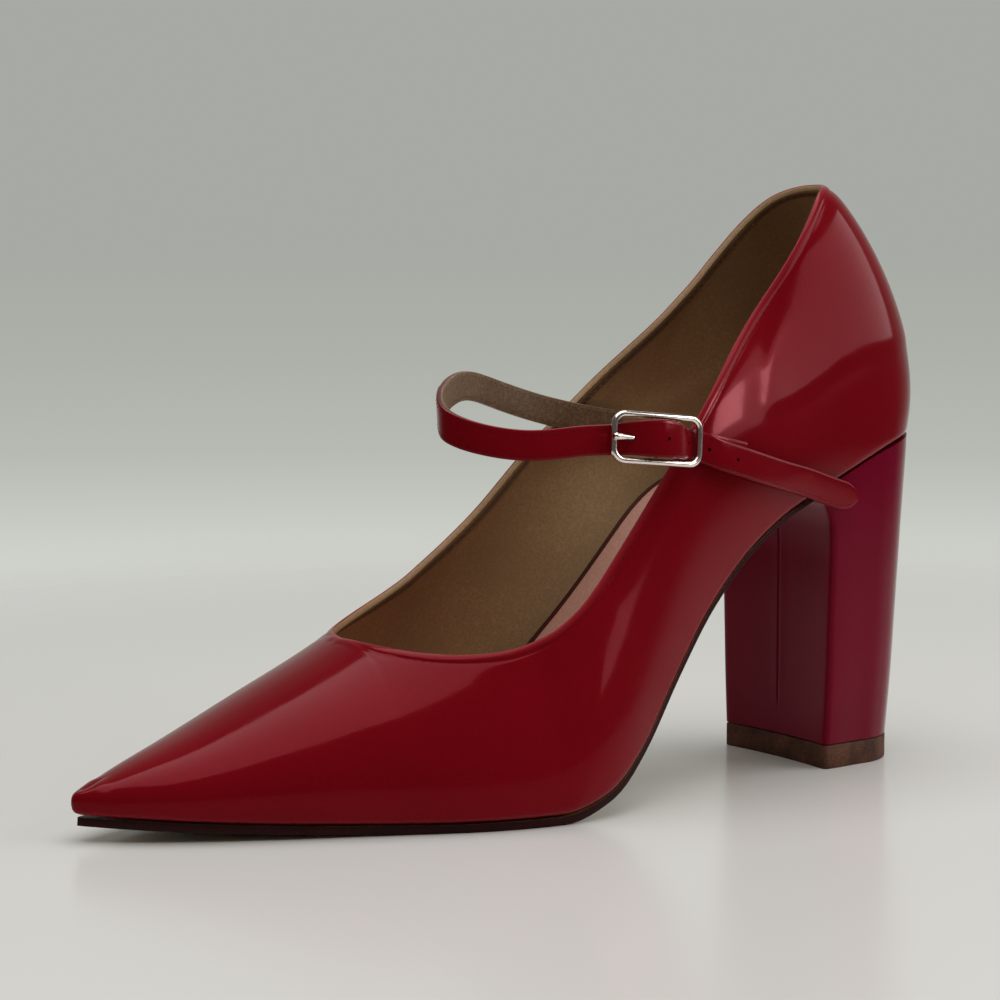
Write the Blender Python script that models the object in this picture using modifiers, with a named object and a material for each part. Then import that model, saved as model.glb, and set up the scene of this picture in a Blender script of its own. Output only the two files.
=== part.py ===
"""Pointed pump with a covered block heel and a buckled instep strap, left foot, size EU 38.

Frame: metres, +X to the toe, +Y to the outer (lateral) side, +Z up. The origin is the middle of the
heel's ground face. Sizes below are in millimetres.
"""
import math
from collections import namedtuple

import bmesh
import bpy
import numpy as np
from mathutils import Matrix, Vector

MM = 0.001
GAP = 0.3                 # between neighbouring curved pieces

# ---- driving sizes -------------------------------------------------------------------------------
HEEL_HEIGHT = 89.0        # underside of the upper at the back of the heel seat
HEEL_BACK_X = -22.4       # back of the heel seat
BREAST_X = 15.8           # flat part of the heel's front face
SEAT_END_X = 22.0         # where the heel seat ends and the sole begins
THROAT_X = 147.0          # front of the foot opening
TOE_X = 217.6             # tip of the toe
TOE_Y = -7.4              # the toe lies on the medial side of the heel's middle line
SEAT_HALF_WIDTH = 24.9    # heel seat, across
WALL = 1.8                # upper: patent leather, interlining and lining
FEATHER_ROLL = 2.0        # round where the wall turns under
MARGIN = 7.0              # lasting margin under the insole
SOLE_THICKNESS = 2.0
SOLE_GAP = 0.5            # cement line between upper and sole
SOLE_INSET = 1.5          # the sole is cut this much inside the upper
INSOLE_THICKNESS = 2.8
TOP_PIECE_THICKNESS = 6.3
STRAP_WIDTH = 8.0
STRAP_THICKNESS = 1.6

# ---- the last: bottom, outline, crown and topline ------------------------------------------------
Bottom = namedtuple("Bottom", "x z medial_rise")
BOTTOM = [                # underside of the upper, seen from the side
    Bottom(HEEL_BACK_X, HEEL_HEIGHT, 0.0), Bottom(-15.0, 87.7, 0.0), Bottom(-3.0, 84.7, 0.0),
    Bottom(3.8, 82.2, 0.0), Bottom(10.4, 79.2, 0.0), Bottom(16.6, 76.4, 0.0),
    Bottom(22.0, 73.8, 0.0), Bottom(32.0, 69.4, 1.0), Bottom(44.0, 61.6, 2.6),
    Bottom(58.0, 48.2, 4.0), Bottom(72.0, 31.8, 3.6), Bottom(86.0, 16.0, 2.2),
    Bottom(99.0, 6.1, 0.8), Bottom(112.0, 2.5, 0.0), Bottom(136.0, 2.5, 0.0),
    Bottom(165.0, 3.3, 0.0), Bottom(195.0, 5.0, 0.0), Bottom(TOE_X, 6.6, 0.0),
]

Outline = namedtuple("Outline", "x lateral medial")
OUTLINE = [               # feather edge of the upper, from the middle of the heel seat to the toe
    Outline(2.0, 24.9, -24.9), Outline(22.0, 25.4, -25.4), Outline(40.0, 26.8, -21.9),
    Outline(58.0, 28.3, -20.2), Outline(76.0, 33.4, -27.2), Outline(94.0, 39.9, -35.8),
    Outline(112.0, 40.6, -40.7), Outline(128.0, 37.7, -41.3), Outline(147.0, 30.2, -36.4),
    Outline(170.0, 20.6, -29.6), Outline(192.0, 10.6, -21.6), Outline(206.0, 2.6, -15.0),
    Outline(214.0, -3.4, -10.8),
]

Crown = namedtuple("Crown", "x y z")
CROWN = [                 # ridge of the last: up the toe, the instep and the cone
    Crown(214.2, TOE_Y, 12.2), Crown(206.0, -7.2, 16.0), Crown(192.0, -6.8, 21.6),
    Crown(170.0, -6.0, 31.6), Crown(147.0, -5.0, 42.6), Crown(125.0, -4.0, 57.5),
    Crown(100.0, -3.0, 81.0), Crown(75.0, -1.5, 101.7), Crown(50.0, 0.0, 125.3),
    Crown(28.0, 0.0, 152.0), Crown(8.0, 0.0, 163.1),
]

Section = namedtuple("Section", "foot_x crown_x foot_reach lean_lateral lean_medial "
                     "shoulder_lateral shoulder_medial crown_dip")
SECTIONS = [              # how each section rises from the feather to the crown; angles in degrees
    Section(-22.4, 8.0, 0.26, 24.1, 24.1, 29.9, 29.9, 56.5),
    Section(2.0, 27.0, 0.33, 6.0, 8.5, 16.8, 16.0, 0.4),
    Section(22.0, 43.0, 0.39, 10.6, 12.5, 22.0, 22.2, 12.5),
    Section(44.0, 60.0, 0.38, 12.4, 22.5, 33.2, 37.9, 2.0),
    Section(66.0, 77.0, 0.38, 9.0, 22.3, 35.0, 38.3, 0.0),
    Section(88.0, 95.0, 0.38, 6.0, 13.0, 27.5, 33.0, 0.0),
    Section(112.0, 115.0, 0.38, 3.5, 7.0, 22.0, 29.0, 0.0),
    Section(147.0, 147.0, 0.40, 8.0, 8.0, 19.0, 22.0, 0.0),
    Section(185.0, 184.5, 0.42, 13.0, 14.0, 11.5, 13.0, 0.0),
    Section(217.6, 214.2, 0.42, 10.0, 10.0, 3.0, 3.0, 0.0),
]

Topline = namedtuple("Topline", "x lateral_z medial_z")
TOPLINE = [               # height of the foot opening's edge above the ground
    Topline(3.5, 154.6, 154.6), Topline(9.0, 152.6, 152.6), Topline(20.0, 141.4, 141.4),
    Topline(35.0, 125.0, 125.0), Topline(50.0, 109.8, 110.4), Topline(64.0, 94.2, 97.0),
    Topline(80.0, 74.8, 82.8), Topline(92.0, 60.8, 69.8), Topline(104.0, 49.2, 59.6),
    Topline(116.0, 42.6, 51.8), Topline(130.0, 40.6, 46.2), Topline(140.0, 41.2, 43.6),
    Topline(THROAT_X, 42.6, 42.6),
]

# ---- the heel, seen level by level ---------------------------------------------------------------
HeelLevel = namedtuple("HeelLevel", "share back_x half_width rear_half_width front_x")
HEEL = [                  # share of the way up from the top piece to the seat
    HeelLevel(0.00, -16.3, 21.4, 20.3, 15.8), HeelLevel(0.20, -17.6, 22.2, 21.2, 15.8),
    HeelLevel(0.45, -18.6, 22.9, 22.2, 15.8), HeelLevel(0.70, -19.6, 23.6, 23.2, 15.8),
    HeelLevel(0.82, -20.2, 24.0, 23.6, 16.2), HeelLevel(0.90, -20.7, 24.3, 23.8, 17.6),
    HeelLevel(0.95, -21.0, 24.4, 23.9, 19.4), HeelLevel(0.975, -21.1, 24.5, 23.9, 21.2),
    HeelLevel(1.00, -21.2, 24.5, 23.9, 21.8),
]
HEEL_CORNER = 1.2         # rounding of the heel's two front edges
HEEL_BREAST_POINTS = 9    # across the hollow front face
BREAST_HOLLOW = 1.2       # depth of the hollow front face
REAR_CENTRE_SHARE = 0.56  # where the heel's rounded back starts, from the back to the breast

# ---- straps and buckle ---------------------------------------------------------------------------
Route = namedtuple("Route", "x y z")
STRAP_LOOP = [            # middle line: from its sewn root inside the medial wall to the buckle
    Route(50.0, -24.0, 90.0), Route(58.0, -24.3, 91.2), Route(66.0, -24.0, 92.7),
    Route(77.0, -23.6, 95.2), Route(90.6, -22.4, 99.2), Route(102.5, -16.5, 102.0),
    Route(114.5, -6.5, 101.7), Route(124.5, 4.5, 98.6), Route(127.8, 13.0, 95.2),
    Route(121.5, 21.5, 92.2), Route(110.0, 26.4, 91.0),
]
STRAP_TAIL = [            # past the buckle, along the lateral quarter
    Route(62.0, 32.4, 87.0), Route(55.0, 32.7, 84.8), Route(47.0, 31.8, 82.6),
    Route(38.0, 30.0, 80.2), Route(30.0, 28.6, 78.3), Route(21.0, 27.4, 75.5), Route(11.0, 26.7, 72.6),
]
Across = namedtuple("Across", "along out")
STRAP_IN_BUCKLE = [       # in the buckle's own frame: along it, and out from the foot
    Across(18.0, -2.5), Across(12.4, -2.3), Across(8.0, -0.3), Across(4.4, 1.8), Across(0.0, 2.5),
    Across(-4.4, 1.8), Across(-8.0, -0.3), Across(-12.4, -2.3),
]
BILLET_ROOT = [           # the short strap's sewn end, on the lateral quarter under the tail
    Route(51.0, 30.5, 85.0), Route(57.0, 30.85, 86.4),
]
BILLET_IN_BUCKLE = [      # on under the middle bar, round it and back on itself
    Across(-12.4, -3.95), Across(-7.0, -3.7), Across(-3.0, -3.0), Across(0.0, -2.5), Across(1.06, -2.06),
    Across(1.5, -1.0), Across(1.06, 0.06), Across(0.0, 0.5), Across(-2.0, 0.1), Across(-4.5, -1.4),
    Across(-7.0, -2.0),
]
PRONG_ROUTE = [           # hooked round the middle bar, through the strap and onto the frame
    Across(0.8, -2.39), Across(-0.8, -2.39), Across(-1.6, -1.0), Across(-0.8, 0.39), Across(0.5, 0.52),
    Across(2.2, 0.25), Across(4.5, 0.05), Across(8.5, 0.6), Across(12.4, 1.75), Across(13.7, 2.05),
]
BUCKLE_CENTRE = Vector((80.0, 33.2, 90.1))
BUCKLE_ALONG = Vector((26.2, -1.8, 2.5)).normalized()
BUCKLE_LENGTH = 26.4
BUCKLE_HEIGHT = 13.0
BUCKLE_BAR = 1.7          # width and depth of the frame's wire
BUCKLE_BOW = 150.0        # radius the frame is bowed to, round the foot
BUCKLE_CORNER = 2.9       # at the middle of the wire
MIDDLE_BAR_OUT = -1.0     # the middle bar is set in towards the foot
MIDDLE_BAR_RADIUS = 0.7
PRONG_RADIUS = 0.6
BILLET_WIDTH = 7.0
BILLET_THICKNESS = 1.0
PRONG_SLOT = 2.6          # slot in the short strap for the prong
PRONG_HOLE_RADIUS = 0.95
HOLE_SPACING = 8.5
HOLE_RADIUS = 0.95
FIRST_HOLE_ALONG = -0.9   # first free hole, behind the one the prong is in
FREE_HOLES = 4
TIP_LENGTH = 6.0          # rounded point at the strap's end


def spline_slopes(xs, ys, ends):
    """Slopes at the knots: a cubic spline with free or level ends, or "monotone" with no overshoot."""
    step = np.diff(xs)
    rise = np.diff(ys) / step
    count = len(xs)
    if ends == "monotone":
        slopes = np.zeros(count)
        for i in range(1, count - 1):
            if rise[i - 1] * rise[i] > 0.0:
                near = 2.0 * step[i] + step[i - 1]
                far = step[i] + 2.0 * step[i - 1]
                slopes[i] = (near + far) / (near / rise[i - 1] + far / rise[i])
        slopes[0] = rise[0]
        slopes[-1] = rise[-1]
        return slopes
    matrix = np.zeros((count, count))
    right = np.zeros(count)
    for i in range(1, count - 1):
        matrix[i, i - 1:i + 2] = (step[i], 2.0 * (step[i - 1] + step[i]), step[i - 1])
        right[i] = 3.0 * (step[i] * rise[i - 1] + step[i - 1] * rise[i])
    if ends == "level":
        matrix[0, 0] = matrix[-1, -1] = 1.0
    else:
        matrix[0, :2] = (2.0, 1.0)
        matrix[-1, -2:] = (1.0, 2.0)
        right[0] = 3.0 * rise[0]
        right[-1] = 3.0 * rise[-1]
    return np.linalg.solve(matrix, right)


def spline(xs, ys, ends="free"):
    """A function that reads a smooth curve through the points."""
    order = np.argsort(xs)
    xs = np.asarray(xs, float)[order]
    ys = np.asarray(ys, float)[order]
    slopes = spline_slopes(xs, ys, ends)

    def value(at):
        i = int(np.clip(np.searchsorted(xs, at) - 1, 0, len(xs) - 2))
        width = xs[i + 1] - xs[i]
        t = min(max((at - xs[i]) / width, 0.0), 1.0)
        return ((1 + 2 * t) * (1 - t) ** 2 * ys[i] + t * (1 - t) ** 2 * width * slopes[i]
                + t * t * (3 - 2 * t) * ys[i + 1] + t * t * (t - 1) * width * slopes[i + 1])
    return value


def column(rows, name):
    return [getattr(row, name) for row in rows]


MID_X = (TOE_X + HEEL_BACK_X) / 2
HALF_REACH = (TOE_X - HEEL_BACK_X) / 2


def x_at(turn):
    """Station along the shoe for a turn of 0 at the back of the heel to pi at the toe."""
    return MID_X - HALF_REACH * math.cos(turn)


def turn_at(x):
    return math.acos(max(-1.0, min(1.0, (MID_X - x) / HALF_REACH)))


def outline_curve(name, sign):
    rear_width = sign * SEAT_HALF_WIDTH
    turns = [0.0, turn_at(-19.0), turn_at(-12.0)]
    sides = [0.0, 0.50 * rear_width, 0.815 * rear_width]
    turns += [turn_at(row.x) for row in OUTLINE] + [math.pi]
    sides += column(OUTLINE, name) + [TOE_Y]
    return spline(turns, sides)


OUTLINE_SIDE = {1: outline_curve("lateral", 1), -1: outline_curve("medial", -1)}
BOTTOM_Z = spline(column(BOTTOM, "x"), column(BOTTOM, "z"), "monotone")
MEDIAL_RISE = spline(column(BOTTOM, "x"), column(BOTTOM, "medial_rise"), "monotone")
CROWN_Y = spline(column(CROWN, "x"), column(CROWN, "y"))
CROWN_Z = spline(column(CROWN, "x"), column(CROWN, "z"))
TOPLINE_Z = {1: spline(column(TOPLINE, "x"), column(TOPLINE, "lateral_z")),
             -1: spline(column(TOPLINE, "x"), column(TOPLINE, "medial_z"))}
SECTION_TURNS = [turn_at(row.foot_x) for row in SECTIONS]
SECTION = {name: spline(SECTION_TURNS, column(SECTIONS, name), "level")
           for name in Section._fields if name != "foot_x"}


def seat_line(x):
    """Height of the upper's underside on the shoe's middle line."""
    return BOTTOM_Z(x)


def bottom_normal(x):
    fall = (seat_line(x + 0.5) - seat_line(x - 0.5)) / 1.0
    return Vector((-fall, 0.0, 1.0)).normalized()


def bottom_point(x, y, lift=0.0):
    """A point on the upper's underside, or at a height above it square to the shoe's bottom."""
    turn = turn_at(x)
    lateral = OUTLINE_SIDE[1](turn)
    medial = OUTLINE_SIDE[-1](turn)
    share = min(max((lateral - y) / max(lateral - medial, 1.0), 0.0), 1.0)
    rise = MEDIAL_RISE(x) * share if x > SEAT_END_X else 0.0
    return Vector((x, y, seat_line(x) + rise)) + bottom_normal(x) * lift


def outline_point(turn, side):
    return Vector((x_at(turn), OUTLINE_SIDE[side](turn), 0.0))


def outline_normal(turn, side):
    """Direction out of the shoe, square to its outline in plan."""
    before = outline_point(max(turn - 0.01, 0.0), side)
    after = outline_point(min(turn + 0.01, math.pi), side)
    along = (after - before).normalized()
    if turn < 0.02:
        return Vector((-1.0, 0.0, 0.0))
    if turn > math.pi - 0.02:
        return Vector((1.0, 0.0, 0.0))
    return Vector((-side * along.y, side * along.x, 0.0))


def inset_point(turn, side, inset):
    return outline_point(turn, side) - outline_normal(turn, side) * inset


def last_curve(turn, side):
    """Control points of one side's section of the last, from the feather up to the crown."""
    plan = outline_point(turn, side)
    out = outline_normal(turn, side)
    foot = bottom_point(plan.x, plan.y, FEATHER_ROLL)
    crown_x = SECTION["crown_x"](turn)
    crown = Vector((crown_x, CROWN_Y(crown_x), CROWN_Z(crown_x)))
    chord = crown - foot
    rise = (chord - out * chord.dot(out)).normalized()
    rise = (rise + bottom_normal(plan.x)).normalized()
    suffix = "lateral" if side > 0 else "medial"
    lean = math.radians(SECTION["lean_" + suffix](turn))
    dip = math.radians(SECTION["crown_dip"](turn))
    shoulder = SECTION["shoulder_" + suffix](turn)
    across = out if plan.x < SEAT_END_X or plan.x > TOE_X - 6.0 else Vector((0.0, side, 0.0))
    foot_handle = foot + (rise * math.cos(lean) + out * math.sin(lean)) * (
        SECTION["foot_reach"](turn) * chord.length)
    crown_handle = crown + (across * math.cos(dip) - Vector((0, 0, math.sin(dip)))) * shoulder
    return foot, foot_handle, crown_handle, crown


def on_curve(points, t):
    a, b, c, d = points
    return a * (1 - t) ** 3 + b * (3 * t * (1 - t) ** 2) + c * (3 * t * t * (1 - t)) + d * t ** 3


def cut_share(points, side):
    """How far up its section the upper goes: to the topline, or to the crown in front of the throat."""
    if points[3].x >= THROAT_X - 1e-6:
        return 1.0
    low, high = 0.0, 1.0
    for _ in range(40):
        middle = (low + high) / 2
        point = on_curve(points, middle)
        if point.z < TOPLINE_Z[side](point.x):
            low = middle
        else:
            high = middle
    return low


def throat_turn():
    low, high = turn_at(110.0), turn_at(180.0)
    for _ in range(50):
        middle = (low + high) / 2
        if SECTION["crown_x"](middle) < THROAT_X:
            low = middle
        else:
            high = middle
    return high


def upper_turns():
    throat = throat_turn()
    near_throat = throat - np.array([0.105, 0.068, 0.040, 0.020, 0.007, 0.0])
    back = np.linspace(0.0, throat - 0.15, 25)
    front = np.linspace(throat, math.pi, 16)[1:]
    return np.concatenate([back, near_throat, front])


WALL_ROWS = 11


def upper_column(turn, side):
    """One column of the upper's outer face: lasting margin, feather and wall, bottom to top."""
    plan = outline_point(turn, side)
    spine_x = min(max(plan.x, HEEL_BACK_X + 24.0), TOE_X - 22.0)
    spine_turn = turn_at(spine_x)
    spine = Vector((spine_x, (OUTLINE_SIDE[1](spine_turn) + OUTLINE_SIDE[-1](spine_turn)) / 2, 0.0))
    inward = (spine - plan).normalized()
    reach = min(FEATHER_ROLL + MARGIN, 0.6 * (spine - plan).length)
    points = []
    for share in (1.0, 0.6):
        under = plan + inward * (reach * share)
        points.append(bottom_point(under.x, under.y))
    normal = bottom_normal(plan.x)
    centre = bottom_point(plan.x, plan.y, FEATHER_ROLL) + inward * FEATHER_ROLL
    for degrees in (90.0, 60.0, 30.0):
        angle = math.radians(degrees)
        points.append(centre - inward * (FEATHER_ROLL * math.cos(angle))
                      - normal * (FEATHER_ROLL * math.sin(angle)))
    controls = last_curve(turn, side)
    share = cut_share(controls, side)
    for row in range(WALL_ROWS + 1):
        points.append(on_curve(controls, share * row / WALL_ROWS))
    return points


def mesh_from_grid(bm, grid, flip):
    """Join rows of points, each as long as the next, into a sheet of four-sided faces."""
    rows = [[bm.verts.new(point * MM) for point in line] for line in grid]
    for first, second in zip(rows, rows[1:]):
        for i in range(len(first) - 1):
            face = [first[i], second[i], second[i + 1], first[i + 1]]
            bm.faces.new(face[::-1] if flip else face)


def material(name, colour, roughness, metallic=0.0, coat=0.0):
    mat = bpy.data.materials.new(name)
    mat.use_nodes = True
    shader = mat.node_tree.nodes["Principled BSDF"]
    shader.inputs["Base Color"].default_value = (*colour, 1.0)
    shader.inputs["Roughness"].default_value = roughness
    shader.inputs["Metallic"].default_value = metallic
    shader.inputs["Coat Weight"].default_value = coat
    mat.diffuse_color = (*colour, 1.0)
    return mat


def add_object(name, bm, mat, collection):
    """Finish a mesh as one named object: doubles merged, loose faces cleaned, shaded smooth."""
    bmesh.ops.remove_doubles(bm, verts=bm.verts, dist=1e-5)
    bmesh.ops.dissolve_degenerate(bm, edges=bm.edges, dist=1e-6)
    mesh = bpy.data.meshes.new(name)
    bm.to_mesh(mesh)
    bm.free()
    mesh.shade_smooth()
    mesh.set_sharp_from_angle(angle=math.radians(40))
    mesh.materials.append(mat)
    obj = bpy.data.objects.new(name, mesh)
    collection.objects.link(obj)
    return obj


def add_wall(obj, thickness):
    """Give an open sheet its thickness, on the side its faces turn away from."""
    solidify = obj.modifiers.new("wall", "SOLIDIFY")
    solidify.thickness = thickness * MM
    solidify.offset = -1.0
    solidify.use_even_offset = True
    return solidify


def make_upper(collection, mat):
    bm = bmesh.new()
    for side in (1, -1):
        grid = [upper_column(turn, side) for turn in upper_turns()]
        mesh_from_grid(bm, grid, flip=side > 0)
    obj = add_object("upper", bm, mat, collection)
    add_wall(obj, WALL)
    return obj


def bottom_sheet(from_x, to_x, columns, across, inset, lift, wing=None):
    """A sheet that follows the shoe's bottom inside its outline, one line of points per station."""
    grid = []
    for turn in np.linspace(turn_at(from_x), turn_at(to_x), columns):
        lateral = inset_point(turn, 1, inset)
        medial = inset_point(turn, -1, inset)
        line = []
        for i in range(across + 1):
            share = i / across
            plan = lateral.lerp(medial, share)
            raised = lift + (wing(plan.x) * share ** 2 if wing else 0.0)
            line.append(bottom_point(plan.x, plan.y, raised))
        grid.append(line)
    return grid


def make_outsole(collection, mat):
    bm = bmesh.new()
    grid = bottom_sheet(SEAT_END_X + GAP, TOE_X, 40, 6, SOLE_INSET, -SOLE_GAP)
    mesh_from_grid(bm, grid, flip=True)
    obj = add_object("outsole", bm, mat, collection)
    add_wall(obj, SOLE_THICKNESS)
    return obj


def make_insole(collection, mat):
    """The board with its sock: it rests on the margin and rises a little at the medial arch."""
    arch = spline([22.0, 44.0, 62.0, 80.0, 100.0], [0.0, 2.2, 3.4, 2.2, 0.0], "monotone")
    bm = bmesh.new()
    lift = WALL + 2 * GAP + INSOLE_THICKNESS
    inset = WALL + GAP + 2.2
    back = bottom_sheet(HEEL_BACK_X, 205.0, 46, 6, inset, lift,
                        lambda x: arch(x) if 22.0 < x < 100.0 else 0.0)
    mesh_from_grid(bm, back, flip=True)
    obj = add_object("insole", bm, mat, collection)
    add_wall(obj, INSOLE_THICKNESS)
    return obj


def heel_ring(share):
    """The heel's D-shaped outline at one level, anticlockwise from the lateral front corner."""
    level = {name: spline(column(HEEL, "share"), column(HEEL, name), "monotone")(share)
             for name in HeelLevel._fields if name != "share"}
    back, front = level["back_x"], level["front_x"]
    half, rear = level["half_width"], level["rear_half_width"]
    centre_x = back + REAR_CENTRE_SHARE * (BREAST_X - back)
    corner = HEEL_CORNER
    side = [(front - corner * 0.3, half - corner * 0.3), (front - corner, half)]
    side += [(centre_x + (front - corner - centre_x) * 0.4, half + (rear - half) * 0.6)]
    arc = [(centre_x - (centre_x - back) * math.sin(a), rear * math.cos(a))
           for a in np.linspace(0.0, math.pi, 17)]
    breast = []
    for i in range(HEEL_BREAST_POINTS):
        y = (half - corner) * (2 * i / (HEEL_BREAST_POINTS - 1) - 1)
        hollow = BREAST_HOLLOW * (1 - (y / (half - corner)) ** 2)
        breast.append((front - hollow, y))
    return side + arc + [(x, -y) for x, y in reversed(side)] + breast


def heel_ring_points(share, bottom_z):
    points = []
    for x, y in heel_ring(share):
        top = seat_line(x) - GAP / bottom_normal(x).z
        points.append(Vector((x, y, bottom_z + share * (top - bottom_z))))
    return points


def cap_across(bm, loop):
    """Close the heel's top with strips that run straight across it, since it curves lengthwise."""
    back = (len(loop) - HEEL_BREAST_POINTS) // 2
    pairs = [(loop[back - i], loop[back + i]) for i in range(back + 1)]
    pairs += [(loop[-1 - i], loop[2 * back + 1 + i]) for i in range(HEEL_BREAST_POINTS // 2 + 1)]
    for (left, right), (next_left, next_right) in zip(pairs, pairs[1:]):
        corners = [next_left, left, right, next_right]
        bm.faces.new(list(dict.fromkeys(corners)))


def loft_rings(rings, top=None):
    """A closed body through rings of points, all with the same count, bottom ring first."""
    bm = bmesh.new()
    loops = [[bm.verts.new(point * MM) for point in ring] for ring in rings]
    for lower, upper in zip(loops, loops[1:]):
        for i in range(len(lower)):
            j = (i + 1) % len(lower)
            bm.faces.new((lower[i], lower[j], upper[j], upper[i]))
    bm.faces.new(loops[0][::-1])
    if top:
        top(bm, loops[-1])
    else:
        bm.faces.new(loops[-1])
    return bm


def make_heel(collection, mat):
    shares = [0.0, 0.1, 0.2, 0.32, 0.45, 0.58, 0.7, 0.78, 0.84, 0.89, 0.93, 0.96, 0.98, 1.0]
    rings = [heel_ring_points(share, TOP_PIECE_THICKNESS + GAP) for share in shares]
    return add_object("heel", loft_rings(rings, cap_across), mat, collection)


def make_top_piece(collection, mat):
    rings = []
    for z in (0.0, TOP_PIECE_THICKNESS):
        rings.append([Vector((x, y, z)) for x, y in heel_ring(0.0)])
    return add_object("top_piece", loft_rings(rings), mat, collection)


def route_points(rows):
    return [Vector(row) for row in rows]


def sample_route(route, spacing):
    """Even points along a smooth line through the given ones, each with its direction."""
    lengths = [0.0]
    for before, after in zip(route, route[1:]):
        lengths.append(lengths[-1] + (after - before).length)
    curves = [spline(lengths, [point[i] for point in route]) for i in range(3)]

    def point_at(at):
        at = min(max(at, 0.0), lengths[-1])
        return Vector([curve(at) for curve in curves])

    samples = []
    count = int(round(lengths[-1] / spacing)) + 1
    for at in np.linspace(0.0, lengths[-1], count):
        samples.append((point_at(at), (point_at(at + 0.1) - point_at(at - 0.1)).normalized()))
    return samples


def buckle_axes():
    """The buckle's own directions: along the strap to the front, up it, and out from the foot."""
    along = BUCKLE_ALONG
    lean = Vector((0.0, -0.10, 1.0))
    up = (lean - along * lean.dot(along)).normalized()
    return along, up, up.cross(along).normalized()


def in_buckle(along, up, out):
    """A point given in the buckle's own frame, which bows round the foot."""
    axis_along, axis_up, axis_out = buckle_axes()
    bowed = out - along * along / (2 * BUCKLE_BOW)
    return BUCKLE_CENTRE + axis_along * along + axis_up * up + axis_out * bowed


def strap_up(point):
    """Which way the band's width runs: upright, leaning as the wall beside it leans."""
    if point.y < 0.0:
        return Vector((0.0, 0.0, 1.0))
    share = min(max((60.0 - point.x) / 30.0, 0.0), 1.0)
    return Vector((0.0, -0.10 + 0.20 * share, 1.0))


def band(samples, up_at, width_at, thickness):
    """A flat band swept along a line; width_at gives its width at a distance from its end."""
    end = samples[-1][0]
    rings = []
    for here, along in samples:
        up = up_at(here)
        up = (up - along * up.dot(along)).normalized()
        out = up.cross(along).normalized()
        half = width_at((end - here).length) / 2
        ring = []
        for share, level in ((-1, -1), (0, -1), (1, -1), (1, 1), (0, 1), (-1, 1)):
            ring.append(here + up * (half * share) + out * (level * thickness / 2))
        rings.append(ring)
    return loft_rings(rings)


def cutter_object(name, bm, collection):
    bmesh.ops.recalc_face_normals(bm, faces=bm.faces)
    mesh = bpy.data.meshes.new(name)
    bm.to_mesh(mesh)
    bm.free()
    obj = bpy.data.objects.new(name, mesh)
    obj.hide_render = True
    obj.display_type = "WIRE"
    collection.objects.link(obj)
    return obj


def add_boolean(obj, other, operation):
    boolean = obj.modifiers.new(operation.lower(), "BOOLEAN")
    boolean.operation = operation
    boolean.solver = "EXACT"
    boolean.object = other


def tube(samples, radius, sides=8):
    """A round bar swept along a line that stays in the buckle's along and out directions."""
    up = buckle_axes()[1]
    rings = []
    for here, along in samples:
        out = up.cross(along).normalized()
        rings.append([here + (up * math.sin(a) + out * math.cos(a)) * radius
                      for a in np.linspace(0.0, math.tau, sides, endpoint=False)])
    return loft_rings(rings)


def cylinder_between(bm, start, end, radius, segments=16):
    axis = end - start
    turn = Vector((0, 0, 1)).rotation_difference(axis).to_matrix().to_4x4()
    place = Matrix.Translation((start + end) / 2 * MM) @ turn
    bmesh.ops.create_cone(bm, cap_ends=True, segments=segments, radius1=radius * MM,
                          radius2=radius * MM, depth=axis.length * MM, matrix=place)


def tip_width(from_end):
    """Full width, rounded off to a blunt point over the last few millimetres."""
    if from_end >= TIP_LENGTH:
        return STRAP_WIDTH
    share = 1.0 - from_end / TIP_LENGTH
    return max(STRAP_WIDTH * math.sqrt(max(1.0 - share * share, 0.0)), 1.6)


def make_instep_strap(collection, cutters, mat):
    through = [in_buckle(row.along, 0.0, row.out) for row in STRAP_IN_BUCKLE]
    route = route_points(STRAP_LOOP) + through + route_points(STRAP_TAIL)
    samples = sample_route(route, 2.0)
    obj = add_object("instep_strap", band(samples, strap_up, tip_width, STRAP_THICKNESS), mat, collection)

    holes = bmesh.new()
    tail = [sample for sample in sample_route(route, 0.1) if sample[0].x < BUCKLE_CENTRE.x + 2.0
            and sample[0].y > 0.0]
    offsets = [abs((here - BUCKLE_CENTRE).dot(BUCKLE_ALONG) - FIRST_HOLE_ALONG) for here, _ in tail]
    start = offsets.index(min(offsets))
    for number in range(FREE_HOLES):
        here, along = tail[start + int(number * HOLE_SPACING / 0.1)]
        out = strap_up(here).cross(along).normalized() * (2 * STRAP_THICKNESS)
        cylinder_between(holes, here - out, here + out, HOLE_RADIUS)
    add_boolean(obj, cutter_object("strap_holes_cutter", holes, cutters), "DIFFERENCE")

    sleeve = sample_route([in_buckle(row.along, 0.0, row.out) for row in PRONG_ROUTE[5:]], 0.8)
    add_boolean(obj, cutter_object("prong_hole_cutter", tube(sleeve, PRONG_HOLE_RADIUS, 16), cutters),
                "DIFFERENCE")
    return obj


def make_buckle_strap(collection, cutters, mat):
    through = [in_buckle(row.along, 0.0, row.out) for row in BILLET_IN_BUCKLE]
    samples = sample_route(route_points(BILLET_ROOT) + through, 0.9)
    bm = band(samples, lambda _: buckle_axes()[1], lambda _: BILLET_WIDTH, BILLET_THICKNESS)
    obj = add_object("buckle_strap", bm, mat, collection)

    along, up, out = buckle_axes()
    slot = bmesh.new()
    place = Matrix((along, up, out)).transposed().to_4x4()
    place.translation = in_buckle(0.0, 0.0, MIDDLE_BAR_OUT) * MM
    size = Matrix.Diagonal((5.6 * MM, PRONG_SLOT * MM, 5.6 * MM, 1.0))
    bmesh.ops.create_cube(slot, size=1.0, matrix=place @ size)
    add_boolean(obj, cutter_object("prong_slot_cutter", slot, cutters), "DIFFERENCE")
    return obj


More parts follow.
